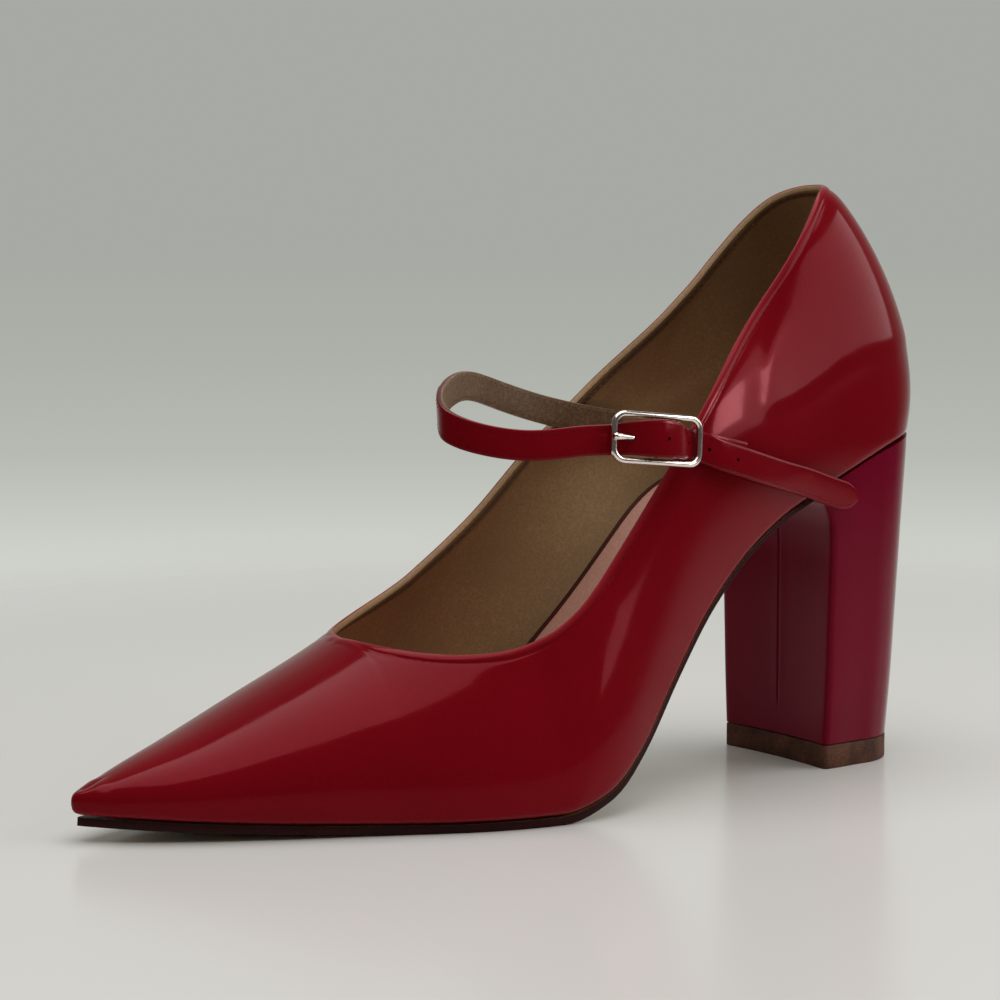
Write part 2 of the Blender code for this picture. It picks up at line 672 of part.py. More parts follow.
def make_buckle_frame(collection, cutters, mat):
    half_length = BUCKLE_LENGTH / 2 - BUCKLE_BAR / 2
    half_height = BUCKLE_HEIGHT / 2 - BUCKLE_BAR / 2
    path = []
    for quarter, (sign_along, sign_up) in enumerate(((1, 1), (-1, 1), (-1, -1), (1, -1))):
        centre_along = sign_along * (half_length - BUCKLE_CORNER)
        centre_up = sign_up * (half_height - BUCKLE_CORNER)
        for step in range(7):
            angle = math.radians(90 * quarter + 15 * step)
            path.append((centre_along + BUCKLE_CORNER * math.cos(angle),
                         centre_up + BUCKLE_CORNER * math.sin(angle),
                         math.cos(angle), math.sin(angle)))
        if quarter in (0, 2):
            for share in (0.2, 0.4, 0.6, 0.8):
                path.append((centre_along * (1 - 2 * share), sign_up * half_height, 0.0, sign_up))
    bm = bmesh.new()
    loops = []
    half = BUCKLE_BAR / 2
    soft = half * 0.45
    wire = ((half, -soft), (half, soft), (soft, half), (-soft, half),
            (-half, soft), (-half, -soft), (-soft, -half), (soft, -half))
    for along, up, away_along, away_up in path:
        loops.append([bm.verts.new(in_buckle(along + away_along * a, up + away_up * a, b) * MM)
                      for a, b in wire])
    for first, second in zip(loops, loops[1:] + loops[:1]):
        for i in range(len(wire)):
            j = (i + 1) % len(wire)
            bm.faces.new((first[i], first[j], second[j], second[i]))
    bmesh.ops.recalc_face_normals(bm, faces=bm.faces)
    obj = add_object("buckle_frame", bm, mat, collection)

    bar = bmesh.new()
    cylinder_between(bar, in_buckle(0.0, -half_height, MIDDLE_BAR_OUT),
                     in_buckle(0.0, half_height, MIDDLE_BAR_OUT), MIDDLE_BAR_RADIUS, 12)
    add_boolean(obj, cutter_object("middle_bar", bar, cutters), "UNION")
    return obj


def make_buckle_prong(collection, mat):
    samples = sample_route([in_buckle(row.along, 0.0, row.out) for row in PRONG_ROUTE], 0.9)
    return add_object("buckle_prong", tube(samples, PRONG_RADIUS), mat, collection)


def collection_named(name):
    collection = bpy.data.collections.new(name)
    bpy.context.scene.collection.children.link(collection)
    return collection


def main():
    for obj in list(bpy.data.objects):
        bpy.data.objects.remove(obj, do_unlink=True)
    parts = collection_named("mary_jane_court_shoe")
    cutters = collection_named("cutters")
    patent = material("patent_leather", (0.075, 0.004, 0.006), 0.12, coat=1.0)
    heel_cover = material("heel_cover", (0.075, 0.004, 0.006), 0.12, coat=1.0)
    strap = material("strap_leather", (0.075, 0.004, 0.006), 0.12, coat=1.0)
    short_strap = material("short_strap_leather", (0.075, 0.004, 0.006), 0.12, coat=1.0)
    lining = material("lining_leather", (0.25, 0.13, 0.09), 0.6)
    sole = material("sole_leather", (0.17, 0.13, 0.06), 0.55)
    rubber = material("top_piece_rubber", (0.06, 0.03, 0.02), 0.6)
    metal = material("buckle_metal", (0.6, 0.45, 0.42), 0.25, metallic=1.0)
    prong = material("prong_metal", (0.6, 0.45, 0.42), 0.25, metallic=1.0)
    make_upper(parts, patent)
    make_insole(parts, lining)
    make_outsole(parts, sole)
    make_heel(parts, heel_cover)
    make_top_piece(parts, rubber)
    make_instep_strap(parts, cutters, strap)
    make_buckle_strap(parts, cutters, short_strap)
    make_buckle_frame(parts, cutters, metal)
    make_buckle_prong(parts, prong)


if __name__ == "__main__":
    main()
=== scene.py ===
"""Looks of a left Mary Jane court shoe in red patent leather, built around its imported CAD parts."""
import math
from collections import namedtuple
from functools import partial

import bmesh
import bpy
import numpy as np
from bpy.props import FloatProperty, FloatVectorProperty, PointerProperty
from mathutils import Matrix, Vector


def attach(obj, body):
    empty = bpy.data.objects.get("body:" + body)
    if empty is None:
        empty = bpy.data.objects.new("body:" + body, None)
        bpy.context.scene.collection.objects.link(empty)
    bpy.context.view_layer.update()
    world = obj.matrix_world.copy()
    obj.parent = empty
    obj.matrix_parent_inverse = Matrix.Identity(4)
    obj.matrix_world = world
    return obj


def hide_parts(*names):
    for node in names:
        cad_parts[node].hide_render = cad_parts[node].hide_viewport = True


bl_info = {
    "name": "Mary Jane Court Shoe",
    "version": (1, 0, 0),
    "blender": (4, 5, 0),
    "location": "3D View > Sidebar > Court Shoe",
    "description": "Builds a patent court shoe with a block heel and a buckled instep strap",
    "category": "Object",
}

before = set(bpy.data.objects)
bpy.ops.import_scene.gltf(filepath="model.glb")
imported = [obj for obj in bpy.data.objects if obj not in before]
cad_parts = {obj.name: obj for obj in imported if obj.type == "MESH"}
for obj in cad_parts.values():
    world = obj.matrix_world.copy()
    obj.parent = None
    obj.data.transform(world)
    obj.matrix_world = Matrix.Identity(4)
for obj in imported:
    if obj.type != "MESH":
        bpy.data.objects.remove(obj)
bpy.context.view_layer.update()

MM = 0.001
BODY = "root"


def table(columns, *rows):
    """Rows of numbers in named columns; the last columns a row leaves out are 0."""
    row_type = namedtuple("Row", columns)
    empty = (0.0,) * len(row_type._fields)
    return [row_type(*row, *empty[len(row):]) for row in rows]


# ---- sizes in millimetres; X runs to the toe, Y to the outer side of this left shoe, Z up ----
HEEL_HEIGHT = 89.0        # ground to the upper's underside at the back of the seat
HEEL_BACK_X = -22.4
BREAST_X = 15.8           # flat part of the heel's front face
SEAT_END_X = 22.0         # where the heel seat ends and the sole begins
THROAT_X = 147.0          # front of the foot opening
TOE_X = 217.6
TOE_Y = -7.4
SEAT_HALF_WIDTH = 24.9
SEAT_ROUNDING = ((-19.0, 0.50), (-12.0, 0.815))   # x, and the share of that width reached there
SEAT_FALL = 12.0          # from the seat's back to its front
FEATHER_ROLL = 2.0        # round where the wall turns under
MARGIN = 7.0              # lasting margin under the insole, turned in towards the spine
SPINE_FROM_BACK = 24.0    # the bottom's middle line, which stops short of both ends
SPINE_FROM_TOE = 22.0
GAP = 0.3
SOLE_GAP = 0.5
SOLE_INSET = 1.5
SOLE_THICKNESS = 2.0
INSOLE_THICKNESS = 2.8
INSOLE_INSET = 2.2
INSOLE_FRONT_X = 205.0
TOP_PIECE_THICKNESS = 6.3

# ---- the last: bottom, outline, crown and topline ----
BOTTOM = table(           # underside of the upper, seen from the side
    "x z medial_rise",
    (HEEL_BACK_X, HEEL_HEIGHT), (-15, 87.7), (-3, 84.7), (3.8, 82.2), (10.4, 79.2), (16.6, 76.4),
    (22, 73.8), (32, 69.4, 1), (44, 61.6, 2.6), (58, 48.2, 4), (72, 31.8, 3.6), (86, 16, 2.2),
    (99, 6.1, 0.8), (112, 2.5), (136, 2.5), (165, 3.3), (195, 5), (TOE_X, 6.6))
OUTLINE = table(          # the last in plan
    "x lateral medial",
    (2, 24.9, -24.9), (22, 25.4, -25.4), (40, 26.8, -21.9), (58, 28.3, -20.2), (76, 33.4, -27.2),
    (94, 39.9, -35.8), (112, 40.6, -40.7), (128, 37.7, -41.3), (147, 30.2, -36.4),
    (170, 20.6, -29.6), (192, 10.6, -21.6), (206, 2.6, -15), (214, -3.4, -10.8))
CROWN = table(            # ridge of the last: up the toe, the instep and the cone
    "x y z",
    (214.2, TOE_Y, 12.2), (206, -7.2, 16), (192, -6.8, 21.6), (170, -6, 31.6), (147, -5, 42.6),
    (125, -4, 57.5), (100, -3, 81), (75, -1.5, 101.7), (50, 0, 125.3), (28, 0, 152), (8, 0, 163.1))
SECTIONS = table(         # how each section rises from the feather to the crown; angles in degrees
    "foot_x crown_x foot_reach lean_lateral lean_medial shoulder_lateral shoulder_medial crown_dip",
    (-22.4, 8, 0.26, 24.1, 24.1, 29.9, 29.9, 56.5), (2, 27, 0.33, 6, 8.5, 16.8, 16, 0.4),
    (22, 43, 0.39, 10.6, 12.5, 22, 22.2, 12.5), (44, 60, 0.38, 12.4, 22.5, 33.2, 37.9, 2),
    (66, 77, 0.38, 9, 22.3, 35, 38.3), (88, 95, 0.38, 6, 13, 27.5, 33),
    (112, 115, 0.38, 3.5, 7, 22, 29), (147, 147, 0.4, 8, 8, 19, 22),
    (185, 184.5, 0.42, 13, 14, 11.5, 13), (217.6, 214.2, 0.42, 10, 10, 3, 3))
TOPLINE = table(          # height of the foot opening's edge above the ground
    "x lateral_z medial_z",
    (3.5, 154.6, 154.6), (9, 152.6, 152.6), (20, 141.4, 141.4), (35, 125, 125),
    (50, 109.8, 110.4), (64, 94.2, 97), (80, 74.8, 82.8), (92, 60.8, 69.8), (104, 49.2, 59.6),
    (116, 42.6, 51.8), (130, 40.6, 46.2), (140, 41.2, 43.6), (THROAT_X, 42.6, 42.6))

# ---- the heel, seen level by level ----
HEEL = table(             # share of the way up from the top piece to the seat
    "share back_x half_width rear_half_width front_x",
    (0, -16.3, 21.4, 20.3, 15.8), (0.2, -17.6, 22.2, 21.2, 15.8), (0.45, -18.6, 22.9, 22.2, 15.8),
    (0.7, -19.6, 23.6, 23.2, 15.8), (0.82, -20.2, 24, 23.6, 16.2), (0.9, -20.7, 24.3, 23.8, 17.6),
    (0.95, -21, 24.4, 23.9, 19.4), (0.975, -21.1, 24.5, 23.9, 21.2), (1, -21.2, 24.5, 23.9, 21.8))
HEEL_CORNER = 1.2         # rounding of the heel's two front edges
BREAST_HOLLOW = 1.2       # depth of the hollow front face
REAR_CENTRE_SHARE = 0.56  # where the heel's rounded back starts, from the back to the breast

# ---- straps and buckle ----
STRAP_LOOP = table(       # middle line: from its sewn root inside the medial wall to the buckle
    "x y z",
    (50, -24, 90), (58, -24.3, 91.2), (66, -24, 92.7), (77, -23.6, 95.2), (90.6, -22.4, 99.2),
    (102.5, -16.5, 102), (114.5, -6.5, 101.6), (124.5, 4.5, 98.2), (127.8, 13, 94.4),
    (121.5, 21.5, 91.1), (110, 26.4, 89.9))
STRAP_TAIL = table(       # past the buckle, along the lateral quarter
    "x y z",
    (62, 32.4, 86.6), (55, 32.7, 84.3), (47, 31.8, 82), (38, 30, 79.5), (30, 28.6, 77.5),
    (21, 27.4, 74.7), (11, 26.7, 71.9))
STRAP_IN_BUCKLE = table(  # in the buckle's own frame: along it, out from the foot and up
    "along out up",
    (18, -2.5, -0.8), (12.4, -2.4, -0.3), (8, -0.4, 0.2), (4.4, 1.8, 0.4), (0, 2.5, 0.5),
    (-4.4, 1.8, 0.4), (-8, -0.3), (-12.4, -2.3))
BILLET_ROOT = table(      # the short strap's sewn end, on the lateral quarter under the tail
    "x y z", (51, 30.5, 85), (57, 30.85, 86.4))
BILLET_IN_BUCKLE = table(  # on under the middle bar, round it and back on itself
    "along out",
    (-12.4, -3.95), (-7, -3.7), (-3, -3), (0, -2.5), (1.06, -2.06), (1.5, -1), (1.06, 0.06),
    (0, 0.5), (-2, 0.1), (-4.5, -1.4), (-7, -2))
PRONG_ROUTE = table(      # hooked round the middle bar, through the strap and onto the frame
    "along out",
    (0.8, -2.39), (-0.8, -2.39), (-1.6, -1), (-0.8, 0.39), (0.5, 0.52), (2.2, 0.25), (4.5, 0.05),
    (8.5, 0.6), (12.4, 1.75), (13.7, 2.05))
BUCKLE_CENTRE = Vector((80.0, 33.2, 90.1))
BUCKLE_ALONG = Vector((26.2, -1.8, 2.5)).normalized()
BUCKLE_LEAN = 0.10        # in towards the foot, for each mm up
TAIL_TURN = 0.20          # the strap's tail turns to lean out, from one x to the other
TAIL_TURN_X = (60.0, 30.0)
BUCKLE_LENGTH = 26.4
BUCKLE_HEIGHT = 13.0
BUCKLE_BAR = 1.7          # width and depth of the frame's wire
BUCKLE_BOW = 150.0        # radius the frame is bowed to, round the foot
BUCKLE_CORNER = 2.9       # at the middle of the wire
FRAME_LIFT = 0.5          # the strap lies low in the frame
MIDDLE_BAR_OUT = -1.0     # the middle bar is set in towards the foot
MIDDLE_BAR_RADIUS = 0.7
PRONG_RADIUS = 0.6
PRONG_SWELL = 0.35        # it thickens towards its end, and its tip is rounded
PRONG_TIP = 0.62
PRONG_TIP_STEP = 0.16
PRONG_UP = 0.4
BILLET_WIDTH = 7.0
BILLET_THICKNESS = 1.0
PRONG_SLOT = 2.6          # width and length of the short strap's slot for the prong
PRONG_SLOT_LENGTH = 5.6
PRONG_HOLE_RADIUS = 0.95
HOLE_SPACING = 8.5
HOLE_RADIUS = 0.45
FIRST_HOLE_ALONG = -0.9   # first free hole, behind the one the prong is in
FREE_HOLES = 4
TIP_LENGTH = 6.0          # rounded point at the strap's end
UNSEWN_TIP = 1.6
STRAP_WIDTH = 7.4
BAR_SPREAD = 2.2          # the strap is pressed wider where it bends over the middle bar
BAR_SPREAD_REACH = 7.5
STRAP_THICKNESS = 1.6
STRAP_STITCH_INSET = 1.1
STRAP_STITCH_RADIUS = 0.17


def spline_slopes(xs, ys, ends):
    """Slopes at the knots: a cubic spline with free or level ends, or one with no overshoot."""
    step = np.diff(xs)
    rise = np.diff(ys) / step
    count = len(xs)
    if ends == "monotone":
        slopes = np.zeros(count)
        slopes[0], slopes[-1] = rise[0], rise[-1]
        for i in range(1, count - 1):
            if rise[i - 1] * rise[i] > 0.0:
                near = 2.0 * step[i] + step[i - 1]
                far = step[i] + 2.0 * step[i - 1]
                slopes[i] = (near + far) / (near / rise[i - 1] + far / rise[i])
        return slopes
    matrix = np.eye(count)
    right = np.zeros(count)
    for i in range(1, count - 1):
        matrix[i, i - 1:i + 2] = (step[i], 2.0 * (step[i - 1] + step[i]), step[i - 1])
        right[i] = 3.0 * (step[i] * rise[i - 1] + step[i - 1] * rise[i])
    if ends == "free":
        matrix[0, :2] = (2.0, 1.0)
        matrix[-1, -2:] = (1.0, 2.0)
        right[0], right[-1] = 3.0 * rise[0], 3.0 * rise[-1]
    return np.linalg.solve(matrix, right)


def spline(xs, ys, ends="free"):
    """A function that reads a smooth curve through the points."""
    order = np.argsort(xs)
    xs = np.asarray(xs, float)[order]
    ys = np.asarray(ys, float)[order]
    slopes = spline_slopes(xs, ys, ends)

    def value(at):
        i = int(np.clip(np.searchsorted(xs, at) - 1, 0, len(xs) - 2))
        width = xs[i + 1] - xs[i]
        t = min(max((at - xs[i]) / width, 0.0), 1.0)
        return ((1 + 2 * t) * (1 - t) ** 2 * ys[i] + t * (1 - t) ** 2 * width * slopes[i]
                + t * t * (3 - 2 * t) * ys[i + 1] + t * t * (t - 1) * width * slopes[i + 1])
    return value


def column(rows, name):
    return [getattr(row, name) for row in rows]


def table_curve(rows, name, ends="free", along="x"):
    """A smooth curve through one column of a table, read along another."""
    return spline(column(rows, along), column(rows, name), ends)


MID_X = (TOE_X + HEEL_BACK_X) / 2
HALF_REACH = (TOE_X - HEEL_BACK_X) / 2


def x_at(turn):
    """Station along the shoe for a turn of 0 at the back of the heel to pi at the toe."""
    return MID_X - HALF_REACH * math.cos(turn)


def turn_at(x):
    return math.acos(max(-1.0, min(1.0, (MID_X - x) / HALF_REACH)))


def outline_curve(name, sign):
    """One side of the shoe in plan, from the back of the heel to the toe, read by turn."""
    stations = [x for x, _ in SEAT_ROUNDING] + column(OUTLINE, "x")
    rounding = [share * sign * SEAT_HALF_WIDTH for _, share in SEAT_ROUNDING]
    return spline([0.0, *(turn_at(x) for x in stations), math.pi],
                  [0.0, *rounding, *column(OUTLINE, name), TOE_Y])


OUTLINE_SIDE = {1: outline_curve("lateral", 1), -1: outline_curve("medial", -1)}
BOTTOM_Z = table_curve(BOTTOM, "z", "monotone")
MEDIAL_RISE = table_curve(BOTTOM, "medial_rise", "monotone")
CROWN_Y = table_curve(CROWN, "y")
CROWN_Z = table_curve(CROWN, "z")
TOPLINE_Z = {1: table_curve(TOPLINE, "lateral_z"), -1: table_curve(TOPLINE, "medial_z")}
SECTION_TURNS = [turn_at(row.foot_x) for row in SECTIONS]
SECTION = {name: spline(SECTION_TURNS, column(SECTIONS, name), "level")
           for name in SECTIONS[0]._fields[1:]}


def between(value, low=0.0, high=1.0):
    return min(max(value, low), high)


def eased(share):
    """A share of 0 to 1 that starts and stops gently."""
    share = between(share)
    return share * share * (3.0 - 2.0 * share)


def bottom_normal(x):
    """Up, square to the shoe's bottom as it falls from the heel to the tread."""
    return Vector((BOTTOM_Z(x - 0.5) - BOTTOM_Z(x + 0.5), 0.0, 1.0)).normalized()


def bottom_point(x, y, lift=0.0):
    """A point on the upper's underside, or at a height above it square to the shoe's bottom."""
    lateral, medial = (OUTLINE_SIDE[side](turn_at(x)) for side in (1, -1))
    share = between((lateral - y) / max(lateral - medial, 1.0))
    rise = MEDIAL_RISE(x) * share if x > SEAT_END_X else 0.0
    return Vector((x, y, BOTTOM_Z(x) + rise)) + bottom_normal(x) * lift


def outline_point(turn, side):
    return Vector((x_at(turn), OUTLINE_SIDE[side](turn), 0.0))


def outline_normal(turn, side):
    """Direction out of the shoe, square to its outline in plan."""
    if turn < 0.02:
        return Vector((-1.0, 0.0, 0.0))
    if turn > math.pi - 0.02:
        return Vector((1.0, 0.0, 0.0))
    along = (outline_point(turn + 0.01, side) - outline_point(turn - 0.01, side)).normalized()
    return Vector((-side * along.y, side * along.x, 0.0))


def last_curve(turn, side):
    """Control points of one side's section of the last, from the feather up to the crown."""
    plan = outline_point(turn, side)
    out = outline_normal(turn, side)
    foot = bottom_point(plan.x, plan.y, FEATHER_ROLL)
    crown_x = SECTION["crown_x"](turn)
    crown = Vector((crown_x, CROWN_Y(crown_x), CROWN_Z(crown_x)))
    chord = crown - foot
    rise = (chord - out * chord.dot(out)).normalized()
    rise = (rise + bottom_normal(plan.x)).normalized()
    name = "lateral" if side > 0 else "medial"
    lean = math.radians(SECTION["lean_" + name](turn))
    dip = math.radians(SECTION["crown_dip"](turn))
    across = out if plan.x < SEAT_END_X or plan.x > TOE_X - 6.0 else Vector((0.0, side, 0.0))
    foot_handle = foot + (rise * math.cos(lean) + out * math.sin(lean)) * (
        SECTION["foot_reach"](turn) * chord.length)
    crown_handle = crown + (across * math.cos(dip) - Vector((0, 0, math.sin(dip)))) * (
        SECTION["shoulder_" + name](turn))
    return foot, foot_handle, crown_handle, crown


def on_curve(points, t):
    a, b, c, d = points
    return a * (1 - t) ** 3 + b * (3 * t * (1 - t) ** 2) + c * (3 * t * t * (1 - t)) + d * t ** 3


def turning_place(low, high, is_below, halvings):
    """The last place where is_below is true and the first where it isn't."""
    for _ in range(halvings):
        middle = (low + high) / 2
        low, high = (middle, high) if is_below(middle) else (low, middle)
    return low, high


def cut_share(points, side):
    """How far up its section the upper goes: to the topline, or in front of it to the crown."""
    if points[3].x >= THROAT_X - 1e-6:
        return 1.0

    def is_below(share):
        point = on_curve(points, share)
        return point.z < TOPLINE_Z[side](point.x)
    return turning_place(0.0, 1.0, is_below, 40)[0]


THROAT_TURN = turning_place(turn_at(110.0), turn_at(180.0),
                            lambda turn: SECTION["crown_x"](turn) < THROAT_X, 50)[1]


def running_lengths(points):
    """Distance along a path to each of its points."""
    legs = [(after - before).length for before, after in zip(points, points[1:])]
    return np.concatenate([[0.0], np.cumsum(legs)])


def at_length(at, lengths, points):
    """The place so far along a path, or the direction, between those given at its points."""
    return Vector([np.interp(at, lengths, points[:, i]) for i in range(3)])


def sample_route(route, spacing):
    """Even points along a smooth line through the given ones, each with its direction."""
    lengths = running_lengths(route)
    curves = [spline(lengths, [point[i] for point in route]) for i in range(3)]

    def point_at(at):
        at = between(at, 0.0, lengths[-1])
        return Vector([curve(at) for curve in curves])

    count = int(round(lengths[-1] / spacing)) + 1
    return [(point_at(at), (point_at(at + 0.1) - point_at(at - 0.1)).normalized())
            for at in np.linspace(0.0, lengths[-1], count)]


def buckle_axes():
    """The buckle's own directions: along the strap to the front, up it, and out from the foot."""
    lean = Vector((0.0, -BUCKLE_LEAN, 1.0))
    up = (lean - BUCKLE_ALONG * lean.dot(BUCKLE_ALONG)).normalized()
    return BUCKLE_ALONG, up, up.cross(BUCKLE_ALONG).normalized()


def in_buckle(along, up, out):
    """A point given in the buckle's own frame, which bows round the foot."""
    axis_along, axis_up, axis_out = buckle_axes()
    bowed = out - along * along / (2 * BUCKLE_BOW)
    return BUCKLE_CENTRE + axis_along * along + axis_up * up + axis_out * bowed


def strap_up(point):
    """Which way the band's width runs: upright, leaning as the wall beside it leans."""
    if point.y < 0.0:
        return Vector((0.0, 0.0, 1.0))
    turned = between((TAIL_TURN_X[0] - point.x) / (TAIL_TURN_X[0] - TAIL_TURN_X[1]))
    return Vector((0.0, -BUCKLE_LEAN + TAIL_TURN * turned, 1.0))


# ---- modelling ----
def linear(code):
    """An sRGB hex colour as the linear red, green and blue that the shaders use."""
    values = [int(code[i:i + 2], 16) / 255 for i in (1, 3, 5)]
    return tuple(v / 12.92 if v <= 0.04045 else ((v + 0.055) / 1.055) ** 2.4 for v in values)


def weld(bm, distance=0.004):
    bmesh.ops.remove_doubles(bm, verts=bm.verts, dist=distance * MM)


def scene_object(name, data):
    """A new object in the scene, at the origin."""
    thing = bpy.data.objects.new(name, data)
    bpy.context.scene.collection.objects.link(thing)
    return thing


def mesh_from(bm, name):
    mesh = bpy.data.meshes.new(name)
    bm.to_mesh(mesh)
    bm.free()
    return mesh


def shaped_mesh(thing):
    """A new mesh of an object as its modifiers or its bevel leave it."""
    bpy.context.view_layer.update()
    depsgraph = bpy.context.evaluated_depsgraph_get()
    return bpy.data.meshes.new_from_object(thing.evaluated_get(depsgraph))


def grid_sheet(bm, places, border=0):
    """A grid whose points are moved to the given places, one list for each line across it.

    The faces of a border, so many steps wide at both sides, take the third material.
    """
    lines, steps = len(places) - 1, len(places[0]) - 1
    verts = bmesh.ops.create_grid(bm, x_segments=lines, y_segments=steps, size=1.0)["verts"]
    for face in bm.faces:
        reach = (1.0 - abs(face.calc_center_median().y)) / 2.0 * steps
        face.material_index = 2 if reach < border else 0
    for vert in verts:
        line = round((vert.co.x + 1.0) / 2.0 * lines)
        step = round((vert.co.y + 1.0) / 2.0 * steps)
        vert.co = places[line][step] * MM


def extruded_rings(bm, rings, faces_like=None, open_end=False):
    """A body drawn through rings of places: a circle moved to the first and extruded to the rest.

    faces_like gives the material of the faces behind each point of the ring. An open end is one
    whose last ring closes on itself.
    """
    count = len(rings[0])
    ring = bmesh.ops.create_circle(bm, segments=count, radius=1.0)["verts"]

    def edges_of(ring):
        return [bm.edges.get((ring[i], ring[(i + 1) % count])) for i in range(count)]

    ends = []
    for number, places in enumerate(rings):
        if number:
            made = set(bmesh.ops.extrude_edge_only(bm, edges=edges_of(ring))["geom"])
            ring = [next(edge.other_vert(vert) for edge in vert.link_edges
                         if edge.other_vert(vert) in made) for vert in ring]
            for i, edge in enumerate(edges_of(ring)):
                edge.link_faces[0].material_index = faces_like[i] if faces_like else 0
        for vert, place in zip(ring, places):
            vert.co = place * MM
        if number in (0, len(rings) - 1):
            ends.append(edges_of(ring))
    for edges in ends[:1] if open_end else ends:
        bmesh.ops.contextual_create(bm, geom=edges)
    if open_end:
        weld(bm)
    bmesh.ops.recalc_face_normals(bm, faces=bm.faces)


def finished_piece(bm, name, materials, stands_for=None, sharp=40.0):
    """Make the mesh a named object that rides with the shoe, and hide the CAD part it stands for."""
    weld(bm)
    mesh = mesh_from(bm, name)
    mesh.shade_smooth()
    mesh.set_sharp_from_angle(angle=math.radians(sharp))
    for material in materials:
        mesh.materials.append(material)
    piece = scene_object(name, mesh)
    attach(piece, BODY)
    if stands_for:
        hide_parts(stands_for)
    return piece


def add_modifier(piece, name, kind, **settings):
    modifier = piece.modifiers.new(name, kind)
    for setting, value in settings.items():
        setattr(modifier, setting, value)


def add_solidify(piece, thickness, inner=0, rim=0, even=True, **more):
    """Give a sheet its thickness behind its faces; inner and rim shift the material's number."""
    add_modifier(piece, "thickness", "SOLIDIFY", thickness=thickness * MM, offset=-1.0,
                 use_even_offset=even, use_quality_normals=True, material_offset=inner,
                 material_offset_rim=rim, **more)


def add_bevel(piece, width, angle=40.0):
    add_modifier(piece, "rounded edges", "BEVEL", width=width * MM, segments=3,
                 limit_method="ANGLE", angle_limit=math.radians(angle), harden_normals=False)


def apply_boolean(piece, bm, operation, material_index=0):
    """Cut the mesh in bm out of a piece, or join it on, and keep the result as the piece's mesh."""
    bmesh.ops.recalc_face_normals(bm, faces=bm.faces)
    for face in bm.faces:
        face.material_index = material_index
    mesh = mesh_from(bm, "tool")
    for material in piece.data.materials:
        mesh.materials.append(material)
    tool = scene_object("tool", mesh)
    add_modifier(piece, "tool", "BOOLEAN", operation=operation, solver="EXACT", object=tool)
    shaped = shaped_mesh(piece)
    shaped.name = piece.name
    piece.modifiers.clear()
    piece.data = shaped
    shaped.set_sharp_from_angle(angle=math.radians(40.0))
    bpy.data.objects.remove(tool)
    bpy.data.meshes.remove(mesh)


def tube_mesh(path, radii, closed=False):
    """A round wire along a path, as a mesh with closed ends; its radius may change on the way."""
    curve = bpy.data.curves.new("wire", "CURVE")
    curve.dimensions = "3D"
    curve.bevel_depth = MM
    curve.bevel_resolution = 4
    curve.use_fill_caps = not closed
    line = curve.splines.new("POLY")
    line.points.add(len(path) - 1)
    line.use_cyclic_u = closed
    for point, place, radius in zip(line.points, path, radii):
        point.co = (*(place * MM), 1.0)
        point.radius = radius
    wire = scene_object("wire", curve)
    mesh = shaped_mesh(wire)
    bpy.data.objects.remove(wire)
    bpy.data.curves.remove(curve)
    bm = bmesh.new()
    bm.from_mesh(mesh)
    bpy.data.meshes.remove(mesh)
    weld(bm)
    return bm


def add_cylinder(bm, start, end, radius, segments=24):
    axis = end - start
    turn = Vector((0, 0, 1)).rotation_difference(axis).to_matrix().to_4x4()
    bmesh.ops.create_cone(bm, cap_ends=True, segments=segments, radius1=radius * MM,
                          radius2=radius * MM, depth=axis.length * MM,
                          matrix=Matrix.Translation((start + end) / 2 * MM) @ turn)


STITCH_SHARE = 0.62       # a stitch's length as a share of the pitch


def add_stitches(bm, path, pitch, radius):
    """A row of thread stitches lying along a path of (place, outward direction) pairs."""
    places, outs = (np.array(rows) for rows in zip(*path))
    lengths = running_lengths([place for place, _ in path])
    length = STITCH_SHARE * pitch
    count = int(lengths[-1] / pitch)
    for number in range(count):
        at = (number + 0.5) * lengths[-1] / count
        start, end = (at_length(at + shift, lengths, places) for shift in (-length / 2, length / 2))
        out = at_length(at, lengths, outs).normalized()
        along = (end - start).normalized()
        side = out.cross(along).normalized()
        turn = Matrix((along, side, along.cross(side))).transposed().to_4x4()
        size = Matrix.Diagonal((length / 2, radius, radius, 1.0))
        middle = Matrix.Translation((start + end) / 2 * MM)
        lying = Matrix.Rotation(math.pi / 2, 4, "Y")
        bmesh.ops.create_uvsphere(bm, u_segments=6, v_segments=4, radius=MM,
                                  matrix=middle @ turn @ size @ lying)


def add_thread(name, paths, shape, thread, radius):
    """Rows of stitches as one piece of thread."""
    bm = bmesh.new()
    for path in paths:
        add_stitches(bm, path, shape.stitch_pitch / MM, radius)
    finished_piece(bm, name, [thread])


# ---- the upper ----
EDGE_ROWS = (8.6, 6.2, 4.4, 3.4, 2.9, 2.5, 2.15, 1.8, 1.3, 0.8, 0.35, 0.0)   # below the topline
WALL_ROWS = 24            # rows between the feather and the edge rows
FOLD_HEIGHT = 0.24        # the folded edge stands proud
FOLD_CENTRE = 1.1         # below the topline, as the next two are
FOLD_REACH = 1.25
STITCH_BELOW_EDGE = 2.5
STITCH_GROOVE = 0.12      # the line that the stitching draws in the leather
STITCH_GROOVE_REACH = 0.35
STITCH_SUNK = 0.04        # how far the thread lies in the leather, and on the inside in the lining
LINING_STITCH_SUNK = 0.03
STITCH_LEAST_STEP = 0.8   # places of the stitch line closer than this are one
STITCH_LONGEST_STEP = 20.0
STITCH_LEAST_Z = 10.0
STITCH_RADIUS = 0.18
EDGE_CURL_HEIGHT = 7.0    # the back's top edge curls in towards the foot over this height
EDGE_CURL = 1.5
EDGE_CURL_END_X = 20.0
EDGE_CURL_FADE = 12.0
GRIP_STEP = 0.42          # the heel grip inside shows as a step on the outer face
GRIP_STEP_WIDTH = 3.0
GRIP_END_X = 50.0
